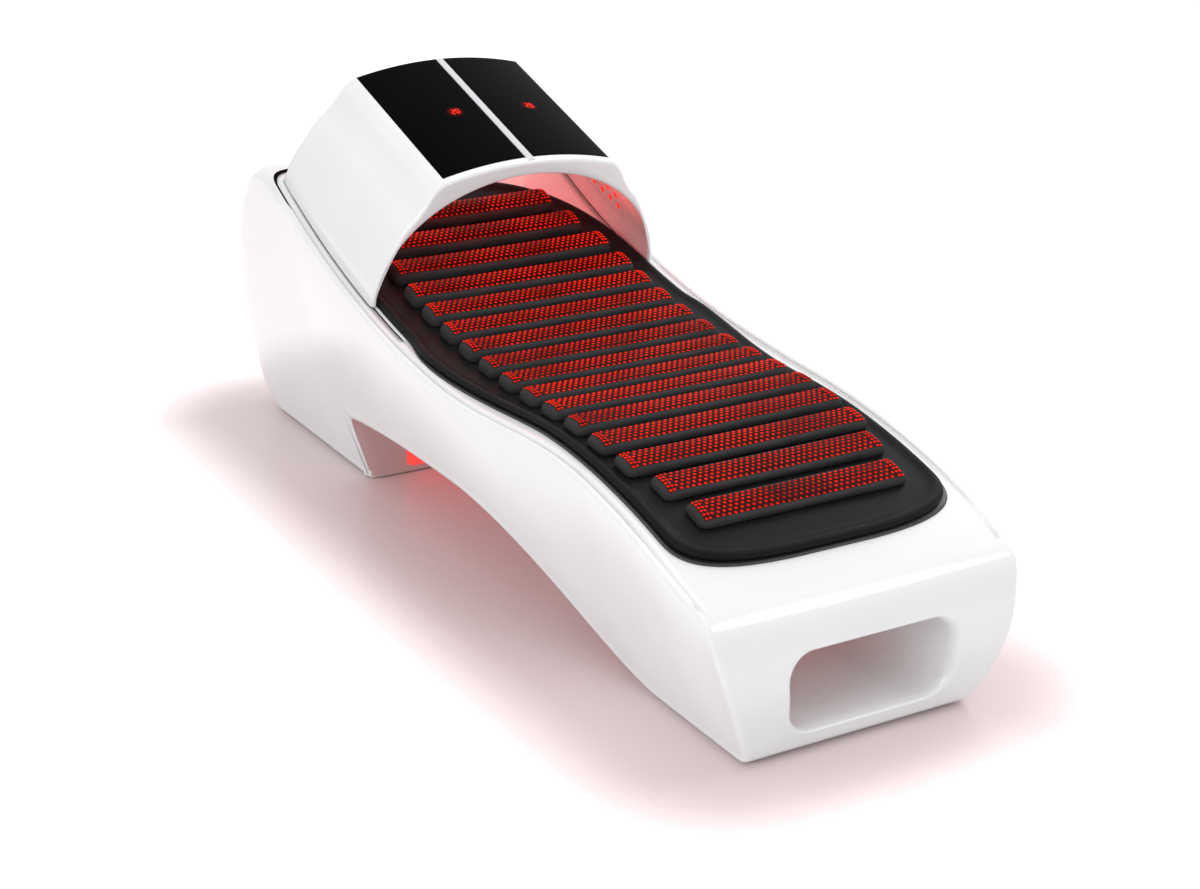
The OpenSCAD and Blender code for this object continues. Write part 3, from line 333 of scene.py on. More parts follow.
def metal(name, colour, rough=0.35, metallic=1.0, brushed=True):
    m, nt, b = new_mat(name)
    v = coords(nt)
    if brushed:
        v = node(nt, "ShaderNodeMapping", Vector=v, Scale=(1.0, 30.0, 30.0)).outputs["Vector"]
    grain = noise(nt, v, 60.0, 6.0)
    look = ramp(nt, grain, 0.3, rgb(colour, 0.88), 0.7, rgb(colour))
    finish(nt, b, look, grain, rough - 0.08, rough + 0.12, grain, 0.1, 0.0004)
    feed(nt, b, Metallic=metallic)
    return m


def glowing(name, colour, strength, base=(0.3, 0.01, 0.0), vary=0.25, scale=60.0, shine=0.2):
    m, nt, b = new_mat(name)
    uneven = ramp(nt, noise(nt, coords(nt), scale, 2.0), 0.3, rgb(colour, 1 - vary), 0.7, rgb(colour))
    feed(nt, b, Emission_Color=uneven, Emission_Strength=strength, Base_Color=rgb(base))
    feed(nt, b, Roughness=0.5, Specular_IOR_Level=shine)
    return m


def board_mat():
    """A circuit board: a green field of small cells between thin copper lines."""
    m, nt, b = new_mat("board_green")
    cells = node(nt, "ShaderNodeTexBrick", Vector=coords(nt), Scale=90.0, Mortar_Size=0.006)
    feed(nt, cells, Color1=(0.01, 0.11, 0.045, 1), Color2=(0.012, 0.13, 0.05, 1))
    feed(nt, cells, Mortar=(0.25, 0.2, 0.06, 1))
    feed(nt, b, Base_Color=cells.outputs["Color"], Roughness=0.4)
    return m


def glass_mat():
    m, nt, b = new_mat("black_glass")
    smear = noise(nt, coords(nt), 7.0, 3.0)
    dark, light = (0.0006, 0.0006, 0.0007, 1), (0.0014, 0.0014, 0.0016, 1)
    feed(nt, b, Base_Color=ramp(nt, smear, 0.3, dark, 0.8, light), IOR=1.06, Specular_IOR_Level=0.5)
    feed(nt, b, Roughness=spread(nt, smear, 0.03, 0.09).outputs["Result"])
    return m


WHITE = moulded("shell_white", (0.85, 0.85, 0.85), rough=0.16)
# The belly panel is a white moulding; its dark pink is painted shade with a painted red glow from under
# the bed.
BELLY_PAINTED_SHADE = moulded("belly_painted_red_shade", (0.60, 0.41, 0.40), rough=0.35, coat=0.1)
DECK = moulded("deck_white", (0.84, 0.84, 0.845), rough=0.2, coat=0.5)
# The liner and the glow box are white mouldings; their pink is a painted red glow from the lights.
LINER_PAINTED_GLOW = moulded("liner_white", (0.84, 0.66, 0.65), rough=0.3, coat=0.3, painted_glow_tint=(0.83, 0.58, 0.57))
TRIM = moulded("trim_grey", (0.62, 0.63, 0.64), coat=0.5)
PAD = vinyl("black_vinyl", (0.0075, 0.0075, 0.008), rough=0.42, shine=0.07)
# The bar's glow colour is a painted red glow of the lights on the vinyl.
BAR = vinyl("bar_vinyl", (0.038, 0.037, 0.037), strength=0.2, glow=(0.035, 0.0005, 0.0002), shine=0.05)
BLACK = moulded("black_plastic", (0.012, 0.012, 0.013), rough=0.38, coat=0.1, ripple=0.05)
RUBBER = vinyl("rubber", (0.012, 0.012, 0.012), rough=0.75, scale=300.0)
STEEL = metal("frame_steel", (0.10, 0.105, 0.11), rough=0.5, metallic=0.0, brushed=False)
ALU = metal("rail_aluminium", (0.62, 0.63, 0.65), rough=0.32)
CASE = metal("case_steel", (0.45, 0.46, 0.47), rough=0.38)
NYLON = moulded("roller_plastic", (0.06, 0.06, 0.063), rough=0.45, coat=0.0, ripple=0.05)
SWITCH = moulded("switch_red", (0.32, 0.012, 0.01), rough=0.35, coat=0.2)
LED = glowing("led_dot", (1.0, 0.016, 0.001), 1.5, base=(0.05, 0.0, 0.0), vary=0.6, scale=7.0, shine=0.02)
LAMP = glowing("lamp_red", (1.0, 0.03, 0.01), 1.0, base=(0.3, 0.0, 0.0), vary=0.1, shine=0.05)
LENS = glowing("red_lens", (1.0, 0.075, 0.07), 1.0, vary=0.12, scale=12.0, shine=0.1)
DIGIT = glowing("display_red", (1.0, 0.03, 0.015), 1.6, vary=0.1, shine=0.05)
BOARD = board_mat()
GLASS = glass_mat()

# ---- body shell
N_HEM, N_SIDE = 8, 26
# The row in which the rolled lower edge ends and the side starts
SIDE_ROW = 1 + N_HEM


def section_rows():
    """A section's rows: how far in, and the height as low + a share of the top + a share of the drop."""
    rows = [(HEM_R + 12, FEET_H, 0, 0), (HEM_R + 4, FEET_H, 0, 0)]
    rows += [(HEM_R * (1 - math.sin(a)), FEET_H + HEM_R * (1 - math.cos(a)), 0, 0) for a in arc(N_HEM)]
    rows += [(0, lerp(FEET_H + HEM_R, -BEAD_RISE, k / N_SIDE), k / N_SIDE, 0) for k in range(1, N_SIDE)]
    rows += [(BEAD_R * (1 - math.cos(a)), -BEAD_RISE * (1 - math.sin(a)), 1, 0) for a in arc(8)]
    rows += [(BEAD_R * (1 + math.sin(a)), math.cos(a) - 1, 1, math.cos(a) - 1) for a in arc(6, 15)]
    return np.array(rows + [(BEAD_W, -5, 1, -1)], float).T


ROW_IN, ROW_LOW, ROW_TOP, ROW_DROP = section_rows()
N_ROW = len(ROW_IN)
# Rows of the face's side that end in the fan round the mouth, and columns across the face
N_UP, N_ACROSS = 23, 44
# Rows of the tunnel that belong to the shell's skin, and the rate at which its mouth narrows
N_NARROW, NARROWING = 15, 1.6


def row_z(top, d):
    return ROW_LOW + ROW_TOP * top + ROW_DROP * d


def foot_profile():
    """The foot end's section on the middle line, row by row: face, nose and the deck's slope."""
    # Where the deck's curve meets the face
    x0 = FOOT_X - 41.0
    while x0 < foot_end(deck_z(x0)):
        x0 += 0.5
    # The nose is a curve of second degree, along the deck at one end and the face at the other
    a1 = deck_a(x0 - NOSE_REACH)
    x1 = x0 - NOSE_REACH * math.cos(a1)
    p1 = np.array([x1, deck_z(x1) - NOSE_SINK])
    z2 = deck_z(x0) - NOSE_REACH * 0.93
    p2 = np.array([foot_end(z2), z2])
    a2 = math.asin((z2 - FACE_Z) / FACE_R)
    t1, t2 = np.array([math.cos(a1), math.sin(a1)]), np.array([-math.sin(a2), math.cos(a2)])
    c = p1 + t1 * np.linalg.solve(np.stack([t1, -t2], axis=1), p2 - p1)[0]
    t = np.linspace(0, 1, 8)[:, None]
    nose = p2 * (1 - t) ** 2 + 2 * c * t * (1 - t) + p1 * t * t
    hem = row_z(0, 0)[: SIDE_ROW + 1]
    side = lerp(FEET_H + HEM_R, z2, np.arange(1, N_SIDE) / N_SIDE)
    deck = np.linspace(x1, FOOT_X - 44, 7)[1:]
    x = [*foot_end(hem) - ROW_IN[: SIDE_ROW + 1], *foot_end(side), *nose[:, 0], *deck, deck[-1] - 1]
    z = [*hem, *side, *nose[:, 1], *deck_z(deck) - NOSE_SINK, deck_z(deck[-1]) - NOSE_SINK - 1.5]
    return np.array(x), np.array(z)


def foot_column(angle, x, z):
    """The profile as an upright line round the foot's corner, from the face (0) to the side."""
    turn = smooth(angle / (math.pi / 2))
    x = x - FOOT_C * (1 - math.cos(angle))
    top, hem = deck_z(x), np.arange(N_ROW) <= SIDE_ROW
    z = np.where(hem, z, lerp(z, row_z(top, FOOT_DROP), turn))
    w = side_w(x, z, np.maximum(top, z)) - np.where(hem, ROW_IN, ROW_IN * turn)
    return points(x, w - FOOT_C * (1 - math.sin(angle)), z)


def between(col, x1, t):
    """A column part of the way from the foot's corner to the arch's first column."""
    x = lerp(col[:, 0], x1, t)
    top = deck_z(x)
    z = lerp(col[:, 2], row_z(top, drop(x)), smooth(t))
    return points(x, side_w(x, z, top) - ROW_IN, z)


def column(kind, value):
    """One upright line of the head block's side, its corner or the head end."""
    if kind == "block":
        x0 = lerp(X_SPLIT, CREST_X + HEAD_C, value)
    elif kind == "corner":
        x0 = CREST_X + HEAD_C - HEAD_C * math.sin(value)
    else:
        x0 = CREST_X
    top = deck_z(x0)
    z = row_z(top, drop(x0))
    w, x = side_w(x0, z, top), head_end(z / top * CREST_Z)
    if kind == "block":
        return points(lerp(X_SPLIT, x + HEAD_C, value), w - ROW_IN, z)
    if kind == "corner":
        r = np.maximum(HEAD_C - ROW_IN, 2)
        return points(x + ROW_IN + r * (1 - math.sin(value)), w - ROW_IN - r * (1 - math.cos(value)), z)
    return points(x + ROW_IN, value * (w - HEAD_C), z)


def arch_path():
    """The shell's lower edge from the foot to the head block: places, outward normals, upper X."""
    upper, lower = 25.0, 7.0  # corner radii of the block's face
    pts = [(x, FEET_H) for x in np.linspace(CORNER_X, 1000, 14)]
    curve = [(x, float(arch_z(x))) for x in np.linspace(985, BLOCK_X + 40, 92)]
    pts += [(x, FEET_H if z < FEET_H + 0.01 else z) for x, z in curve]
    zt = float(arch_z(BLOCK_X + upper))
    pts += [(BLOCK_X + upper * (1 - math.sin(a)), zt - upper * (1 - math.cos(a))) for a in arc(9)]
    pts += [(BLOCK_X, z) for z in np.linspace(zt - upper, FEET_H + lower, 12)[1:-1]]
    pts += [(BLOCK_X - lower * (1 - math.cos(a)), FEET_H + lower * (1 - math.sin(a))) for a in arc(6)]
    pts += [(x, FEET_H) for x in np.linspace(BLOCK_X - lower, X_SPLIT, 8)[1:]]
    p = np.array(pts)
    keep = [0]
    for i in range(1, len(p)):
        if np.hypot(*(p[i] - p[keep[-1]])) > 1.0:
            keep.append(i)
    p = p[keep]
    d = np.gradient(p, axis=0)
    d[0], d[-1] = (-1, 0), (-1, 0)
    d /= np.linalg.norm(d, axis=1)[:, None]
    # Walking towards the head, the open space lies on the left
    n = np.stack([-d[:, 1], d[:, 0]], axis=1)
    # From x -430 on, the columns lean: their upper ends share out the way to X_SPLIT evenly
    s = np.concatenate([[0], np.cumsum(np.linalg.norm(np.diff(p, axis=0), axis=1))])
    k = int(np.argmin(np.abs(p[:, 0] + 430)))
    xu = p[:, 0].copy()
    xu[k:] = lerp(p[k, 0], X_SPLIT, (s[k:] - s[k]) / (s[-1] - s[k]))
    return p, n, xu


def arch_columns():
    hem, t, bead = arc(N_HEM), np.arange(1, N_SIDE) / N_SIDE, SIDE_ROW + N_SIDE
    cols = []
    for (bx, bz), (nx, nz), x1 in zip(*arch_path()):
        px, pz = bx - nx * HEM_R, bz - nz * HEM_R
        y0, top = side_w(px, pz, deck_z(px)) - HEM_R, deck_z(x1)
        k = HEM_R * (1 - np.cos(hem))
        rolled = points(bx - nx * k, y0 + HEM_R * np.sin(hem), bz - nz * k)
        x, z = lerp(px, x1, t), lerp(pz, top - BEAD_RISE, t)
        side = points(x, side_w(x, z, deck_z(x)), z)
        z = row_z(top, drop(x1))
        upper = points(x1, side_w(x1, z, top) - ROW_IN, z)[bead:]
        cols.append(np.concatenate([points(bx, [y0 - 28, y0 - 4], bz), rolled, side, upper]))
    return cols


def rounded_rect(w, h, r, n_side, n_top):
    """Points of a rounded rectangle, from the lower right corner's middle, anticlockwise as Y, Z."""
    x, y, dx, dy = w / 2 - r, h / 2 - r, w - 2 * r, h - 2 * r
    half = r * math.pi / 4
    sides = ((x, -y, 0, dy), (x, y, -dx, 0), (-x, y, 0, -dy), (-x, -y, dx, 0))
    out = []
    for q, (cx, cy, lx, ly) in enumerate(sides):
        n, length = (n_side, n_top)[q % 2], abs(lx + ly)
        for s in np.arange(n) * (2 * half + length) / n:
            # Each side is half a corner, a straight and half a corner
            straight = min(max(s - half, 0), length)
            a, k = (q - 0.5) * math.pi / 2 + (s - straight) / r, straight / length
            out.append((cx + lx * k + r * math.cos(a), cy + ly * k + r * math.sin(a)))
    return out


def service_opening(ob):
    """Cuts the service panel's opening in the head end and turns its edge inwards."""
    a = math.atan2(float(head_end(SERVICE_Z + 60) - head_end(SERVICE_Z - 60)), 120)
    mid = Vector((float(head_end(SERVICE_Z)), 0, SERVICE_Z)) * MM
    up, out = Vector((math.sin(a), 0, math.cos(a))), Vector((-math.cos(a), 0, math.sin(a)))
    outline = []
    for q, (sx, sy) in enumerate(((1, 1), (-1, 1), (-1, -1), (1, -1))):
        for t in arc(6, 90 * q, 90 * q + 90):
            x = sx * (SERVICE_W / 2 - SERVICE_R) + SERVICE_R * math.cos(t)
            y = sy * (SERVICE_H / 2 - SERVICE_R) + SERVICE_R * math.sin(t)
            outline.append((x * MM, y * MM))
    sides = list(zip(outline, outline[1:] + outline[:1]))
    bm = bmesh.new()
    bm.from_mesh(ob.data)

    def place(co):
        d = co - mid
        return d.y, d.dot(up), d.dot(out)

    def near(co):
        return all(abs(v) < reach for v, reach in zip(place(co), (0.18, 0.11, 0.05)))

    for (x0, y0), (x1, y1) in sides:
        faces = [f for f in bm.faces if near(f.calc_center_median())]
        geom = faces + [e for f in faces for e in f.edges] + [v for f in faces for v in f.verts]
        across = (Vector((0, y1 - y0, 0)) - up * (x1 - x0)).normalized()
        start = mid + Vector((0, x0, 0)) + up * y0
        geom = list(dict.fromkeys(geom))
        bmesh.ops.bisect_plane(bm, geom=geom, dist=1e-6, plane_co=start, plane_no=across)
    gone = []
    for f in bm.faces:
        c = f.calc_center_median()
        if near(c):
            x, y, _ = place(c)
            if all((x1 - x0) * (y - y0) - (y1 - y0) * (x - x0) > 0 for (x0, y0), (x1, y1) in sides):
                gone.append(f)
    bmesh.ops.delete(bm, geom=gone, context="FACES")
    rim = [e for e in bm.edges if len(e.link_faces) == 1 and all(near(v.co) for v in e.verts)]
    for inset, deep in ((1.2 * MM, 1.2 * MM), (0.0, SERVICE_IN * MM)):
        new = bmesh.ops.extrude_edge_only(bm, edges=rim)["geom"]
        for v in [g for g in new if isinstance(g, bmesh.types.BMVert)]:
            x, y, _ = place(v.co)
            v.co += -out * deep - Vector((0, math.copysign(inset, x), 0)) - up * math.copysign(inset, y)
        rim = [g for g in new if isinstance(g, bmesh.types.BMEdge)]
    bm.to_mesh(ob.data)
    bm.free()
    shade(ob.data, 50)


def mouth(a):
    """An outline of the tunnel's mouth, from the face (0) to where it has turned inwards."""
    grow = MOUTH_GROW * (1 - math.sin(a))
    w, h = MOUTH_W + 2 * grow, MOUTH_H + grow
    q = np.array(rounded_rect(w, h, MOUTH_R + 0.5 * grow, N_UP, N_ACROSS))
    q[:, 0] *= 1 + 0.03 * q[:, 1] / (MOUTH_H / 2)
    q[:, 1] += MOUTH_Z + MOUTH_H / 2 + 0.1 * grow
    return q


def foot_face(m, edge):
    """Strips under and over the tunnel's mouth; returns the fan of rings round it and into it."""
    us = np.linspace(1, -1, N_ACROSS + 1)
    for rows in (edge[: SIDE_ROW + 1], edge[SIDE_ROW + N_UP :]):
        m.grid([rows * (1, u, 1) for u in us], flip=True)
    side, us = edge[SIDE_ROW : SIDE_ROW + N_UP + 1, 1:], us[:-1, None]
    across = np.hstack([us, us * 0 + 1])
    outer = [side[:-1], side[-1] * across, side[:0:-1] * (-1, 1), side[0] * across * (-1, 1)]
    outer, inner = np.concatenate(outer), mouth(0)
    rings = []
    for t in np.linspace(0, 1, 10):
        y, z = (outer + (inner - outer) * (1 - (1 - t) ** NARROWING)).T
        rings.append(points(foot_end(z), y, z))
    for a in arc(12, 0, MOUTH_TURN)[1:]:
        y, z = mouth(a).T
        rings.append(points(foot_end(z) - MOUTH_DEEP * (1 - math.cos(a)), y, z))
    return rings


def tunnel_rows():
    """Outlines of the tunnel, from its mouth to where its walls come out of the arch."""
    xs = np.linspace(ARCH_TOP, ARCH_FOOT, 400)
    start = mouth(math.radians(MOUTH_TURN))
    end = np.array(rounded_rect(TUN_W, TUN_H, TUN_R, N_UP, N_ACROSS)) + (0, TUN_Z + TUN_H / 2)
    front = foot_end(start[:, 1]) - MOUTH_DEEP / 2
    back = np.interp(end[:, 1], arch_z(xs)[::-1], xs[::-1])
    rows = []
    for k in np.linspace(0, 1, 31):
        q = start + (end - start) * (1 - max(1 - k / 0.4, 0) ** NARROWING)
        rows.append(points(lerp(front, back, k), *q.T))
    return rows


def body_shell():
    m = Parts()
    foot = foot_profile()
    cols = [foot_column(a, *foot) for a in arc(9)]
    cols += [between(cols[-1], CORNER_X, t) for t in (0.2, 0.4, 0.6, 0.8)]
    cols += arch_columns()
    cols += [column("block", t) for t in np.linspace(0, 1, 10)[1:]]
    cols += [column("corner", a) for a in arc(12)[1:]]
    cols += [column("end", t) for t in np.linspace(1, 0, 12)[1:]]
    m.both(cols)
    rings, rows = foot_face(m, cols[0]), tunnel_rows()
    # The skin holds the part that narrows, so that no seam shows in it
    m.grid(rings + rows[1 : N_NARROW + 1], close_v=True, flip=True)
    ob = m.make("body_shell_skin", "bed", WHITE, sharp=50)
    service_opening(ob)
    # The inner edge of the shell that lies on the block's face takes the panel's painted red shade too.
    ob.data.materials.append(BELLY_PAINTED_SHADE)
    for p in ob.data.polygons:
        x, y, z = p.center * 1000
        if abs(x - BLOCK_X) < 25 and abs(p.normal.x) > 0.9 and z < ARCH_H and abs(y) > 150:
            p.material_index = 1
    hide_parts("body_shell", "head_shell", "foot_shell")
    m = Parts()
    m.grid(rows[N_NARROW:], close_v=True, flip=True)
    ob = m.make("foot_tunnel_wall", "bed", WHITE)
    thicken(ob, 3)
    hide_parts("foot_tunnel")


body_shell()


# ---- deck panel
def along(length):
    return length / LOUNGE_R


HOOD_L = 568.0
HOOD_A1 = CREST_A + along(14)
HOOD_A0 = HOOD_A1 - along(HOOD_L)
# The slots in which the hood's walls slide: their ends, and their two edges from the middle line
SLOT_X0 = WAIST_X - LOUNGE_R * math.sin(HOOD_A1 + along(33))
SLOT_X1 = WAIST_X - LOUNGE_R * math.sin(HOOD_A0 - along(166))
SLOT_IN, SLOT_OUT = 383.8, 389.6


def deck_panel():
    ins = BEAD_W + 0.9
    r, x0 = HEAD_C - ins, CREST_X + HEAD_C
    x_end = FOOT_X - 39.0

    def half(x):
        h = float(deck_half(x)) - ins + 5 * float(smooth((x - 1000) / 200))
        return h - (r - root(r * r - (x0 - x) ** 2) if x < x0 else 0)

    h0 = BODY_H - ins
    inner, outer = SLOT_IN / h0, SLOT_OUT / h0
    across = np.array([-1, -outer, *np.linspace(-inner, inner, 25), outer, 1])
    zones = [
        [x for x in x0 - r * np.cos(arc(10, 0, 80)) if x < SLOT_X0 - 1] + [SLOT_X0],
        np.linspace(SLOT_X0, SLOT_X1, 60),
        [*np.linspace(SLOT_X1, x_end - 1, 100), x_end],
    ]
    m = Parts()
    for zone, xs in enumerate(zones):
        pts = []
        for x in xs:
            h = half(x) if zone == 2 or x < x0 else h0
            pts.append(points(x, across * h, deck_z(x) - drop(x)))
        pts, n = np.array(pts), len(across)
        # Between the slots' ends the panel is in three strips
        for lo, hi in ((0, 2), (2, n - 2), (n - 2, n)) if zone == 1 else ((0, n),):
            m.grid(pts[:, lo:hi])
    ob = m.make("deck_panel_skin", "bed", DECK)
    thicken(ob, 4)
    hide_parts("deck_panel")


deck_panel()

# ---- pad
PAD_L, PAD_ROUND = 1793.0, 490.0
PAD_X1 = FOOT_X - 122.0
PAD_X0, PAD_MID = PAD_X1 - PAD_L, PAD_X1 - PAD_L / 2
PAD_WIDE = WAIST_X - 485.0
PAD_LIP = 7.0
PAD_Z0 = 5.2
PAD_TOP = PAD_Z0 + 10.0
# The pad's edge, from its underside to inside its raised bead: in from the outline, height
PAD_EDGE = [(9, PAD_Z0), (3, PAD_Z0 + 0.4), (0.8, PAD_Z0 + 2.5), (0, PAD_Z0 + 6)]
PAD_EDGE += [(0.6, PAD_TOP - 0.5), (2.2, PAD_TOP + 2.2), (4.6, PAD_TOP + 4.4), (8, PAD_TOP + 5.8)]
PAD_EDGE += [(12, PAD_TOP + 6.0), (16, PAD_TOP + 5.2), (20, PAD_TOP + 3.6), (24, PAD_TOP + 2.0)]
PAD_EDGE += [(29, PAD_TOP + 0.9), (36, PAD_TOP + 0.5)]
# The plate's edge under the pad: out from the outline, height
PLATE_EDGE = [(-20, 0.4), (0, 0.4), (0.6, 1.2), (0.8, 2.4), (0, 3.9), (-1, 4.3), (-20, 4.3)]


def pad_half(x):
    w = lerp(LEG_H - 52, BODY_H - 41, smooth((WAIST_X + 155 - x) / 550))
    w = w - 11 * smooth((PAD_WIDE + 110 - x) / 110)
    a = (1 - np.clip((x - PAD_X1 + 130) / 130.5, 0, 1) ** 3.2) ** (1 / 3.2)
    b = (1 - np.clip((PAD_X0 + PAD_ROUND - x) / (PAD_ROUND + 0.5), 0, 1) ** 3) ** (1 / 2.2)
    return w * a * b


# Places along the pad, closer together at its round ends
PAD_XS = np.concatenate(
    [
        PAD_X0 + 120 - 120 * np.cos(arc(22, 0, 85)),
        np.linspace(PAD_X0 + 115, PAD_X1 - 132, 90),
        PAD_X1 - 130 + 130 * np.cos(arc(20, 88, 0)),
    ]
)


def pad_loop(half, longer):
    """A loop round the pad: along one side, across the foot end, back and across the head end."""
    turn = np.linspace(1, -1, 11)[1:-1]
    x = np.concatenate([PAD_XS, PAD_XS[-1] + 0 * turn, PAD_XS[::-1], PAD_XS[0] + 0 * turn])
    y = np.concatenate([half, half[-1] * turn, -half[::-1], -half[0] * turn])
    return PAD_MID + (x - PAD_MID) * (1 + 2 * longer / PAD_L), y


def pad():
    rows = []
    for ins, up in PAD_EDGE:
        x, y = pad_loop(np.maximum(pad_half(PAD_XS) - ins, 0.5), -ins)
        x, z = on_deck(x, up - drop(x))
        rows.append(points(x, y, z))
    m = Parts()
    m.grid(rows, close_v=True)
    x, y, z = rows[-1][: len(PAD_XS)].T
    # The crown dies out at both ends, where the sheet meets the loop's straight edge
    ends = smooth((x - x.min()) / 80) * smooth((x.max() - x) / 80)
    m.grid([points(x, y * t, z + 1.2 * (1 - t * t) * ends) for t in np.linspace(1, -1, 41)])
    ob = m.make("pad_cover", "bed", PAD, weld=0.05)
    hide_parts("pad")


def pad_plate():
    """The plate that the pad lies on, seen as a dark edge under it."""
    half = pad_half(PAD_XS) + lerp(-0.5, PAD_LIP, smooth((PAD_XS - PAD_WIDE) / 200))
    rows = []
    for grow, up in PLATE_EDGE:
        x, y = pad_loop(np.maximum(half + grow, 0.5), PAD_LIP + grow)
        rows.append(points(x, y, deck_z(x) - drop(x) + up))
    m = Parts()
    m.grid(rows, close_v=True)
    ob = m.make("pad_plate", "bed", BLACK, weld=0.05, sharp=60)
    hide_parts("tray_plate")


pad()
pad_plate()

# ---- light bars
BAR_N, BAR_W, BAR_L, PITCH = 16, 80.0, 620.0, 101.0
# A bar's section before it is filled: in from the outline, height up to BAR_RISE
BAR_EDGE = [(4, 0), (1.2, 2), (0, 6), (0, 11), (0.8, 16), (2.6, 20.5), (5.5, 24.4), (9.5, 27.6)]
BAR_EDGE += [(14.5, 30), (20.5, 31.7), (27, 32.6), (33, 33), (37, 33)]
BAR_RISE, BAR_FORM = 33, 32.0
# Points along each long and each short side
N_LONG, N_SHORT = 60, 10
# A shorter bar is squeezed up to here from its middle only, so that its ends keep their form
SQUEEZED = 120.0
# The foot bar is longer and lies further out than its solid
FOOT_BAR_LONGER, FOOT_BAR_OUT = 14, 4
# A light's dome as (radius, height over the bar), and its top
DOME, DOME_TOP = [(3.5, -0.3), (3.0, 0.5), (1.8, 1.1)], 1.2
DOME_N = 8


def bar_places():
    xs = [FOOT_X - 259]
    for k in range(1, BAR_N):
        x, l = xs[-1], PITCH * (1.1 if k > BAR_N - 4 else 1)
        xs.append(x - l * math.cos(float(deck_a(x - l / 2))))
    return xs


def bar_len(k):
    return BAR_L - 54 * max(2 - k, k - BAR_N + 3, 0) - (10 if k < 3 or k > BAR_N - 4 else 0)


def bar_height(k):
    return 25 + 15 * k / (BAR_N - 1)


def bar_form():
    """The pillow of one bar before it is filled, as loops of a rounded rectangle."""
    loops = []
    for ins, z in BAR_EDGE:
        w, l = BAR_W - 2 * ins - 3, BAR_L - 1.3 * ins - 3
        r = max(min(17 - ins * 0.2, w / 2 - 0.2), 1.0)
        loop = rounded_rect(w, l, r, N_LONG, N_SHORT)
        loops.append([(x, y, z * BAR_FORM / BAR_RISE) for x, y in loop])
    m = Parts()
    m.grid(loops, close_v=True)
    n = len(loops[0])
    last, far = (len(loops) - 1) * n, 2 * N_LONG + N_SHORT - 1
    # The crown closes from side to side, so that the cloth has even cells
    m.f += [(last + j, last + j + 1, last + far - 1 - j, last + far - j) for j in range(N_LONG - 1)]
    m.f.append(tuple(last + j for j in range(N_LONG - 1, N_LONG + N_SHORT + 1)))
    m.f.append(tuple(last + j % n for j in range(far, n + 1)))
    m.f.append(tuple(range(n - 1, -1, -1)))
    return m.make("bar_form", None, BAR, weld=0.01)


def fill_with_air(ob, steps=14, cap=3.0):
    """Swells a closed form as stuffed fabric does, keeping its base where it is."""
    rest = np.array([v.co for v in ob.data.vertices])
    vg = ob.vertex_groups.new(name="pin")
    vg.add([int(i) for i in np.nonzero(rest[:, 2] < 4 * MM)[0]], 1.0, "REPLACE")
    mod = ob.modifiers.new("fill", "CLOTH")
    s = mod.settings
    s.quality = 4
    s.use_pressure = True
    s.uniform_pressure_force = 2.2
    s.tension_stiffness = s.compression_stiffness = 25
    s.shear_stiffness = 12
    s.bending_stiffness = 3.0
    s.vertex_group_mass = "pin"
    s.effector_weights.gravity = 0
    mod.collision_settings.use_collision = False
    for step in range(1, steps + 1):
        bpy.context.scene.frame_set(step)
    dg = bpy.context.evaluated_depsgraph_get()
    move = np.array([v.co for v in ob.evaluated_get(dg).data.vertices]) - rest
    bpy.context.scene.frame_set(1)
    ob.modifiers.remove(mod)
    k = np.minimum(1, cap * MM / np.maximum(np.linalg.norm(move, axis=1), 1e-9))
    return rest + move * k[:, None]


def pillow():
    """The filled bar's points in millimetres and its faces; nothing stands lower than the base."""
    ob = bar_form()
    co = fill_with_air(ob)
    ob.data.vertices.foreach_set("co", co.ravel())
    ob.data.update()
    sub = ob.modifiers.new("round", "SUBSURF")
    sub.levels = sub.render_levels = 1
    me = bpy.data.meshes.new_from_object(ob.evaluated_get(bpy.context.evaluated_depsgraph_get()))
    verts = np.array([v.co for v in me.vertices]) * 1000
    verts[:, 2] = np.maximum(verts[:, 2], 0)
    faces = [tuple(p.vertices) for p in me.polygons]
    bpy.data.objects.remove(ob)
    return verts, faces


def cells(length):
    """Places of one bar's lights: six staggered rows, with closer columns at the ends."""
    end = length / 2 - 16
    cols = [end, end - 8.5, end - 18.5]
    n = round((2 * cols[-1]) / 7.2)
    out = []
    for j, u in enumerate(np.linspace(-27, 27, 6)):
        out += [(u, sg * c) for sg in (-1, 1) for c in cols[:2]]
        out += [(u, v) for i, v in enumerate(np.linspace(-cols[2], cols[2], n + 1)) if i % 2 == j % 2]
    return out


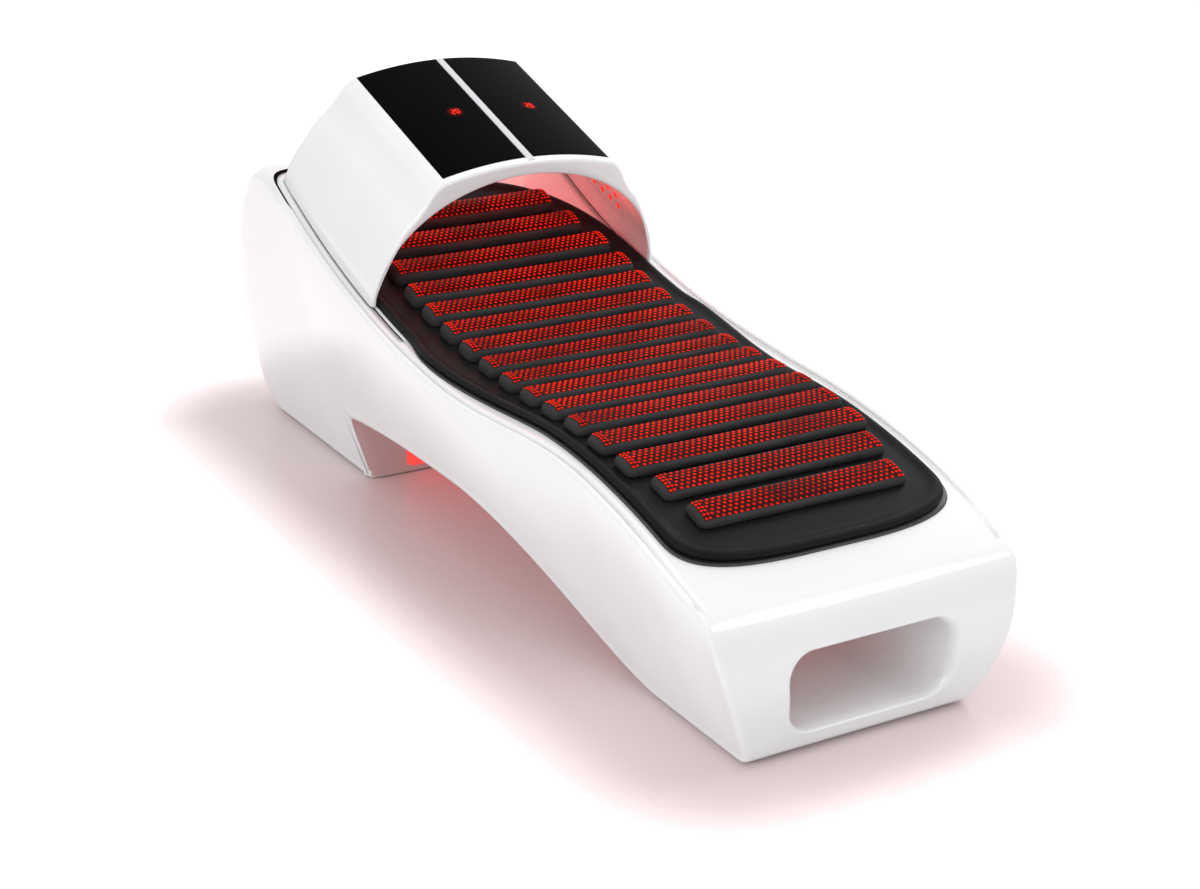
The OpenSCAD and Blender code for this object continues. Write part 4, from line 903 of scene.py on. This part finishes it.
def light_bars():
    verts, faces = pillow()
    tree = BVHTree.FromPolygons([Vector(v) for v in verts], faces)
    crown = verts[:, 2].max()
    # The lights' strip on each bar's crown, which the bar material darkens and gives a painted red glow.
    lit = smooth((35 - np.abs(verts[:, 0])) / 8) * smooth((BAR_L / 2 - 7 - np.abs(verts[:, 1])) / 8)
    lit *= smooth((verts[:, 2] - 0.6 * crown) / (0.2 * crown))
    turns = [(math.cos(a), math.sin(a)) for a in arc(DOME_N + 1, 0, 360)[:-1]]
    dv, df = [], []
    for k, x in enumerate(bar_places()):
        length, kh = bar_len(k) + (FOOT_BAR_LONGER if k == 0 else 0), bar_height(k) / crown
        cut = (BAR_L - length) / 2
        x += FOOT_BAR_OUT if k == 0 else 0
        px, pz = on_deck(x, PAD_TOP + 0.5 - float(drop(x)))
        a = float(deck_a(x))
        ca, sa = math.cos(a), math.sin(a)

        def place(p):
            q = np.array(p, float).reshape(-1, 3)
            v, z = q[:, 1], q[:, 2] * kh
            v = np.where(np.abs(v) > SQUEEZED, v - np.sign(v) * cut, v * (SQUEEZED - cut) / SQUEEZED)
            return points(px + q[:, 0] * ca - z * sa, v, pz + q[:, 0] * sa + z * ca)

        bar = make(f"bar_{k + 1:02d}", place(verts), faces, "bed", BAR)
        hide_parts(f"light_bar_{k + 1:02d}")
        shown = bar.data.attributes.new("lit", "FLOAT", "POINT")
        shown.data.foreach_set("value", lit.astype(np.float32))
        for u, v in cells(length):
            # The light's place on the full bar, from its place on the squeezed one
            v += math.copysign(cut, v) if abs(v) > SQUEEZED - cut else v * cut / (SQUEEZED - cut)
            hit = tree.ray_cast(Vector((u, v, 200)), Vector((0, 0, -1)))[0]
            z0 = hit.z if hit is not None else 0.0
            base = len(dv)
            dome = [(u + r * cq, v + r * sq, z0 + h / kh) for r, h in DOME for cq, sq in turns]
            dv += place(dome + [(u, v, z0 + DOME_TOP / kh)]).tolist()
            steps = [(t, (t + 1) % DOME_N) for t in range(DOME_N)]
            for low in (base, base + DOME_N):
                df += [(low + t, low + n, low + n + DOME_N, low + t + DOME_N) for t, n in steps]
            low = base + 2 * DOME_N
            df += [(low + t, low + n, low + DOME_N) for t, n in steps]
    dots = make("led_dots", dv, df, "bed", LED)
    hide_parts("led_strips")


light_bars()

# ---- hood
TILT = (HOOD_A0 + HOOD_A1) / 2 - math.radians(2.95)
CT, ST = math.cos(TILT), math.sin(TILT)
HP = (WAIST_X - LOUNGE_R * math.sin(HOOD_A0), LOUNGE_Z - LOUNGE_R * math.cos(HOOD_A0))
HALF_W, HOOD_H, ROOF_DROP = 394.0, 344.0, 33.0
ROOF_HALF = HALF_W - 158.0
ROOF_EDGE = HOOD_H - ROOF_DROP
ROOF_R = (ROOF_HALF**2 + ROOF_DROP**2) / (2 * ROOF_DROP)
INNER_A, INNER_B = HALF_W - 13.5, 304.0
LIP_OUT, LIP_IN = 11.0, 7.0
# The glass panels' ends along the hood, and the two displays' places across it
GLASS_S0, GLASS_S1 = 32.0, 546.0
DISPLAYS = (("display_left", -ROOF_HALF * 0.33), ("display_right", ROOF_HALF * 0.55))


def hood_xyz(u, h, s):
    """A place on the bed from one on the hood: across it, up from its track, and back along it."""
    return points(HP[0] - s * CT + h * ST, u, HP[1] + s * ST + h * CT)


def roof_y(u):
    return HOOD_H - ROOF_R + root(ROOF_R**2 - u**2)


def base_h(s, r=LOUNGE_R + 2.5):
    """Height at which the hood ends above the track, at a place along it."""
    ax, az = HP[0] - s * CT - WAIST_X, HP[1] + s * ST - LOUNGE_Z
    b = ax * ST + az * CT
    c = ax * ax + az * az - r * r
    return -b - math.sqrt(b * b - c)


def end_s(front, h):
    """Where the hood's front or rear edge lies at a height; both lean a little."""
    return -9.17 + (h + 210) * 0.0436 if front else HOOD_L + 20 - (h + 210) * 0.0608


def side_curve():
    """The hood's side from the roof's edge down, a smooth curve through a few places."""
    shares = [(0, 1), (0.15, 0.92), (0.26, 0.817), (0.39, 0.722)]
    shares += [(0.575, 0.608), (0.76, 0.43), (0.9, 0.252)]
    k = [(ROOF_HALF - 20, ROOF_EDGE + 30)]
    k += [(lerp(ROOF_HALF, HALF_W, out), ROOF_EDGE * up) for out, up in shares]
    k += [(HALF_W - 1.5, ROOF_EDGE * 0.096), (HALF_W, 0), (HALF_W + 1, -110), (HALF_W + 1, -200)]
    k = np.array(k)
    out = []
    for a, b, c, d in zip(k, k[1:], k[2:], k[3:]):
        for t in np.linspace(0, 1, 13)[:-1]:
            square, cube = 2 * a - 5 * b + 4 * c - d, 3 * b - a - 3 * c + d
            out.append(0.5 * (2 * b + (c - a) * t + square * t**2 + cube * t**3))
    return np.array(out)


SIDE = side_curve()
SIDE_S = np.concatenate([[0], np.cumsum(np.linalg.norm(np.diff(SIDE, axis=0), axis=1))])


def outer_section(s, inset=0.0):
    """Right half of the hood's outer section, from the crown to the base, drawn in by inset."""
    u = np.linspace(0, ROOF_HALF - 6, 20)
    q = np.linspace(6, np.interp(-base_h(s), -SIDE[:, 1], SIDE_S), 44)
    pts = np.hstack([[u, roof_y(u)], [np.interp(q, SIDE_S, v) for v in SIDE.T]]).T
    if inset:
        d = np.gradient(pts, axis=0)
        d /= np.linalg.norm(d, axis=1)[:, None]
        n = np.stack([d[:, 1], -d[:, 0]], axis=1)
        n[0] = (0, -1)
        keep = pts[-1, 1]
        pts = pts + n * inset
        pts[-1, 1] = keep
    return pts


def inner_section(s, outset=0.0):
    """The same half of the liner's oval section, point by point beside the outer one."""
    a, b = INNER_A + outset, INNER_B + outset
    hb = base_h(s)
    u, h = outer_section(s).T
    t = np.arctan2(np.maximum(h, hb) / b, u / a)
    out = np.stack([a * np.cos(t), b * np.sin(t)], axis=1)
    out[-1] = (a * math.sqrt(max(1 - (hb / b) ** 2, 0)), hb)
    return out


def hood_row(section, t, lip):
    """A section part of the way from the hood's front edge to its rear edge, both drawn in by lip."""
    u, h = section.T
    return hood_xyz(u, h, lerp(end_s(True, h) + lip, end_s(False, h) - lip, t))


def hood_rows(section, lip, n):
    s = lerp(end_s(True, 0) + lip, end_s(False, 0) - lip, np.linspace(0, 1, n))
    return [hood_row(section(at), t, lip) for at, t in zip(s, np.linspace(0, 1, n))]


def hood():
    edges = []
    # At each end: inner lip, end face and outer lip
    for t in (0, 1):
        s0 = end_s(t == 0, 0)
        part = []
        for a in arc(7):
            section = inner_section(s0, LIP_IN * (1 - math.cos(a)))
            part.append(hood_row(section, t, LIP_IN * (1 - math.sin(a))))
        i_edge, o_edge = inner_section(s0, LIP_IN), outer_section(s0, LIP_OUT)
        part += [hood_row(lerp(i_edge, o_edge, share), t, 0) for share in (0.33, 0.66)]
        for a in arc(9, 90, 0):
            section = outer_section(s0, LIP_OUT * (1 - math.cos(a)))
            part.append(hood_row(section, t, LIP_OUT * (1 - math.sin(a))))
        edges.append(part)
    skin = hood_rows(outer_section, LIP_OUT, 46)[1:-1]
    m = Parts()
    m.both(edges[0] + skin + edges[1][::-1])
    ob = m.make("hood_skin", "hood", WHITE, sharp=55)
    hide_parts("hood_shell")
    m = Parts()
    m.both(hood_rows(inner_section, LIP_IN, 60), flip=True)
    ob = m.make("hood_inside", "hood", LINER_PAINTED_GLOW)
    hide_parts("hood_liner")


hood()


def glass_panels():
    s0, s1, edge = GLASS_S0, GLASS_S1, ROOF_HALF - 8.5
    us = [8.5, 9.0, 10.0, *np.linspace(12, ROOF_HALF - 12, 34), edge - 1.5, edge - 0.5, edge]
    us = np.array(us)[:, None]
    ss = np.array([s0, s0 + 0.5, s0 + 1.5, *np.linspace(s0 + 4, s1 - 4, 40), s1 - 1.5, s1 - 0.5, s1])

    def heights(n):
        """Heights over the roof of rows or columns: the three outermost make the rounded edge."""
        return [-1.5, 0.2, 0.5] + [0.6] * (n - 6) + [0.5, 0.2, -1.5]

    over = np.minimum.outer(heights(len(us)), heights(len(ss)))
    for name, sg in (("glass_left", -1), ("glass_right", 1)):
        m = Parts()
        m.grid(hood_xyz(sg * us, roof_y(us) + over, ss), flip=sg < 0)
        ob = m.make(name + "_pane", "hood", GLASS)
        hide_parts(name)
    # The strip between the panes, which rises out of the roof at its front end
    half = [(9.6, 0.1), (9.5, 0.9), (8.8, 1.6), (7.0, 2.2), (4.0, 2.6), (0, 2.8)]
    u, h = np.array([(-u, h) for u, h in half] + half[-2::-1]).T
    s = np.array([s0 - 12, s0 - 10, s0 - 6, *np.linspace(s0, s1 - 4, 30), s1 - 2])[:, None]
    k = smooth((s - (s0 - 13)) / 12)
    m = Parts()
    m.grid(hood_xyz(u, roof_y(u) + h * k - (1 - k), s), flip=True)
    ob = m.make("spine_strip", "hood", TRIM)
    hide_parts("spine_trim")


glass_panels()


def digits():
    """Plain seven-segment figures that glow through the glass: 20 on each side."""
    segments = {"2": "abged", "0": "abcdef"}
    w, h, thick, gap, pitch = 7.0, 20.0, 2.8, 0.7, 11.5
    corners = [(0, h), (w, h), (w, h / 2), (w, 0), (0, 0), (0, h / 2)]
    ends = {c: (corners[i], corners[(i + 1) % 6]) for i, c in enumerate("abcdef")}
    ends["g"] = (corners[5], corners[2])
    for name, centre in DISPLAYS:
        m = Parts()
        for i, figure in enumerate("20"):
            for c in segments[figure]:
                p0, p1 = np.array(ends[c], float)
                d = (p1 - p0) / math.hypot(*(p1 - p0))
                p0, p1 = p0 + d * gap, p1 - d * gap
                n, d = np.array([-d[1], d[0]]) * thick / 2, d * thick / 2
                outline = [p0, p0 + d + n, p1 - d + n, p1, p1 - d - n, p0 + d - n]
                m.f.append(tuple(range(len(m.v), len(m.v) + 6)))
                x, y = np.array(outline).T
                u = centre + x + i * pitch - 9
                m.v += hood_xyz(u, roof_y(u) + 1.0, HOOD_L / 2 + y - h / 2).tolist()
        ob = m.make(name + "_digits", "hood", DIGIT)


digits()


def halo():
    """A painted red glow in the glass round each pair of figures."""
    nt = GLASS.node_tree
    blooms = []
    for _, u in DISPLAYS:
        middle = hood_xyz(u, roof_y(u), HOOD_L / 2) * MM
        far = work_out(nt, "VectorMath", "DISTANCE", coords(nt), middle)["Value"]
        bloom = spread(nt, far, 0.22, 0.0, From_Min=0.0, From_Max=0.028)
        bloom.interpolation_type = "SMOOTHERSTEP"
        blooms.append(bloom.outputs["Result"])
    total = arithmetic(nt, "ADD", *blooms)
    b = nt.nodes["Principled BSDF"]
    feed(nt, b, Emission_Strength=total, Emission_Color=(1.0, 0.01, 0.005, 1))


halo()


def hood_lights():
    """Three rows of oval lights on each side wall, in a panel with a fine dark edge."""
    s0, s1, t0, t1 = 132.0, 352.0, 11.5, 38.0
    sm, tm = (s0 + s1) / 2, (t0 + t1) / 2
    across, long = 10, 7
    round_light = ((1.0, 0.4), (0.9, 1.6), (0.55, 2.4), (0.02, 2.7))
    turn = arc(13, 0, 360)[:-1]

    def at(t, s, deep):
        return hood_xyz((INNER_A - deep) * np.cos(t), (INNER_B - deep) * np.sin(t), s)

    # Round the panel's edge, as angle and place along the hood
    go = np.linspace(0, 1, 20)
    t = lerp(t0, t1, np.concatenate([go, go[1:] * 0 + 1, 1 - go[1:], go[1:-1] * 0]))
    s = lerp(s0, s1, np.concatenate([go * 0, go[1:], go[1:] * 0 + 1, 1 - go[1:-1]]))
    inner = at(np.radians(t), s, 0.3)
    outer = at(np.radians(t + np.sign(t - tm) * 0.16), s + np.sign(s - sm) * 0.8, 0.35)
    for name, sg in (("right", 1), ("left", -1)):
        dots, rim = Parts(), Parts()
        for i in range(5):
            for angle in (16, 23, 30):
                mt, ms = math.radians(angle), s0 + 23 + 44 * i
                u, v = across * np.sin(turn) / INNER_B, long * np.cos(turn)
                rings = [at(mt + r * u, ms + r * v, deep) for r, deep in round_light]
                dots.grid(np.array(rings) * (1, sg, 1), close_v=True, flip=sg < 0)
        rim.grid(np.array([inner, outer]) * (1, sg, 1), close_v=True)
        ob = dots.make(f"hood_dots_{name}", "hood", LAMP)
        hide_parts(f"hood_light_{name}")
        edge = rim.make(f"hood_light_edge_{name}", "hood", BLACK)


hood_lights()


def lens_plate():
    """The lit plate over the recess in the head block, with a rounded edge."""
    (_, y0, _), (_, y1, z1) = [np.array(v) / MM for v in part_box("glow_box")]
    w, low, high = y1 - y0 + 24, 20.0, z1 + 8
    rings = []
    for ins, out in ((0, 0.2), (0, 3), (1, 4.2), (3, 5), (12, 5.4), (30, 5.6)):
        q = np.array(rounded_rect(w - 2 * ins, high - low - 2 * ins, max(14 - ins, 2), 12, 24)).T
        rings.append(points(BLOCK_X + out, q[0], q[1] + (low + high) / 2))
    m = Parts()
    m.grid(rings, close_v=True)
    m.f.append(tuple(range(len(m.v) - len(rings[0]), len(m.v))))
    ob = m.make("glow_plate", "bed", LENS)
    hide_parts("glow_lens")


lens_plate()

# ---- carried-over nodes
FINISHES = (
    (BELLY_PAINTED_SHADE, "belly_panel"),
    (LINER_PAINTED_GLOW, "glow_box"),
    (RUBBER, "rubber_feet"),
    (STEEL, "chassis carriage_left carriage_right"),
    (ALU, "rail_left rail_right"),
    (CASE, "power_supply_left power_supply_right"),
    (BOARD, "driver_board"),
    (SWITCH, "switch_rocker"),
    (NYLON, "roller_front_left roller_rear_left roller_front_right roller_rear_right"),
    (BLACK, "head_base foot_base service_panel fan_housing fan_rotor power_inlet"),
    (BLACK, "display_left display_right"),
)
for mat, names in FINISHES:
    for name in names.split():
        me = nodes[name].data
        me.materials.clear()
        me.materials.append(mat)
        shade(me, 28)

# ---- floor, light and camera
scene = bpy.context.scene
scene.view_settings.view_transform = "Standard"


def seen_ray(nt):
    """1 for rays of the camera, of reflections and of glass."""
    path = nt.nodes.new("ShaderNodeLightPath")
    out = path.outputs["Is Camera Ray"]
    for kind in ("Is Glossy Ray", "Is Transmission Ray"):
        out = arithmetic(nt, "MAXIMUM", out, path.outputs[kind])
    return out


def show(nt, output, joined, *shaders):
    """Joins two shaders by a node whose last two inputs take them, and shows the outcome."""
    for socket, shader in zip(joined.inputs[-2:], shaders):
        put(nt, socket, shader.outputs[0])
    put(nt, nt.nodes[output].inputs["Surface"], joined.outputs[0])


def floor():
    """A pale floor with a painted pink shadow: seen, it is darker and redder near the bed, and a white
    glow fades it into the white backdrop further out.
    """
    m, nt, b = new_mat("floor_white")
    # The seen colour is darker and pinker than the floor's own: painted shade and painted red glow from
    # under the bed.
    painted_pink_shade = mixed(nt, seen_ray(nt), (0.86, 0.85, 0.85, 1), (0.81, 0.665, 0.665, 1))
    feed(nt, b, Base_Color=painted_pink_shade, Roughness=0.32, Specular_IOR_Level=0.3)
    # How far a place lies outside a rectangle a little smaller than the bed
    v = coords(nt)
    inside = (FOOT_X * MM - 0.1, LEG_H * MM - 0.1, 1)
    for operation, *value in (("ABSOLUTE",), ("SUBTRACT", inside), ("MAXIMUM", (0, 0, 0))):
        v = work_out(nt, "VectorMath", operation, v, *value)["Vector"]
    far = work_out(nt, "VectorMath", "LENGTH", v)["Value"]
    # The white lift is missing close to the bed, so the darker seen colour stays there as a painted
    # shadow.
    lift = spread(nt, far, 0.0, 0.6, From_Min=0.15, From_Max=0.5)
    lift.interpolation_type = "SMOOTHSTEP"
    strength = arithmetic(nt, "MULTIPLY", lift.outputs["Result"], seen_ray(nt))
    glow = node(nt, "ShaderNodeEmission", Color=(1, 1, 1, 1), Strength=strength)
    show(nt, "Material Output", nt.nodes.new("ShaderNodeAddShader"), b, glow)
    me = bpy.data.meshes.new("floor")
    corners = [(12 * x, 12 * y, 0) for x, y in ((-1, -1), (1, -1), (1, 1), (-1, 1))]
    me.from_pydata(corners, [], [(0, 1, 2, 3)])
    me.materials.append(m)
    ob = bpy.data.objects.new("floor", me)
    scene.collection.objects.link(ob)


def backdrop():
    """A white world where it is seen, and a softer one that lights the bed."""
    world = bpy.data.worlds.new("studio")
    scene.world = world
    world.use_nodes = True
    nt = world.node_tree
    light = feed(nt, nt.nodes["Background"], Color=(0.97, 0.98, 1.0, 1), Strength=0.84)
    seen = node(nt, "ShaderNodeBackground", Color=(1, 1, 1, 1), Strength=1.0)
    show(nt, "World Output", node(nt, "ShaderNodeMixShader", Fac=seen_ray(nt)), light, seen)


def area(name, place, target, size, power, colour=(1, 1, 1), hidden=False):
    li = bpy.data.lights.new(name, "AREA")
    li.shape = "RECTANGLE"
    li.size, li.size_y = size
    li.energy = power
    li.color = colour
    ob = bpy.data.objects.new(name, li)
    ob.location = place
    ob.rotation_euler = (Vector(target) - Vector(place)).to_track_quat("-Z", "Y").to_euler()
    scene.collection.objects.link(ob)
    if hidden:
        ob.visible_camera = ob.visible_glossy = False


def camera(place, turn, down, lens):
    """A camera that looks a turn to the left of the bed's Y axis, and so many degrees down."""
    cam = bpy.data.cameras.new("camera")
    cam.lens, cam.sensor_width = lens, 36.0
    cam.clip_end = 60
    ob = bpy.data.objects.new("camera", cam)
    ob.location = place
    az, el = math.radians(turn), math.radians(down)
    look = Vector((-math.sin(az) * math.cos(el), math.cos(az) * math.cos(el), -math.sin(el)))
    ob.rotation_euler = look.to_track_quat("-Z", "Y").to_euler()
    scene.collection.objects.link(ob)
    scene.camera = ob


floor()
backdrop()
area("top", (0.1, 0.3, 3.6), (0, 0, 0.4), (2.6, 1.6), 17)
area("key", (2.0, -3.7, 1.7), (0.0, 0, 0.45), (2.4, 1.6), 32)
area("nose", (2.4, 1.9, 3.2), (1.2, 0, 0.3), (1.4, 1.4), 18)
area("rear", (-0.6, 3.2, 3.0), (0, 0, 0.4), (1.8, 1.4), 24)
RED = (1.0, 0.10, 0.09)
# The light that the bars throw up into the hood, and what glows under the bed
area("hood_glow", (-0.40, 0.0, 0.74), (-0.25, 0.0, 1.2), (0.5, 0.4), 3.0, RED, True)
area("recess_glow", (-0.575, 0.0, 0.09), (0.4, 0.0, 0.05), (0.28, 0.11), 0.10, RED, True)
area("belly_glow", (-0.05, 0.0, 0.17), (-0.05, 0.0, 0.0), (1.1, 0.6), 0.15, RED, True)
area("tunnel_glow", (0.62, 0.0, 0.12), (1.3, 0.0, 0.14), (0.2, 0.1), 0.25, RED, True)
camera((4.3335, -2.376, 2.066), turn=60.03, down=20.49, lens=64.0)
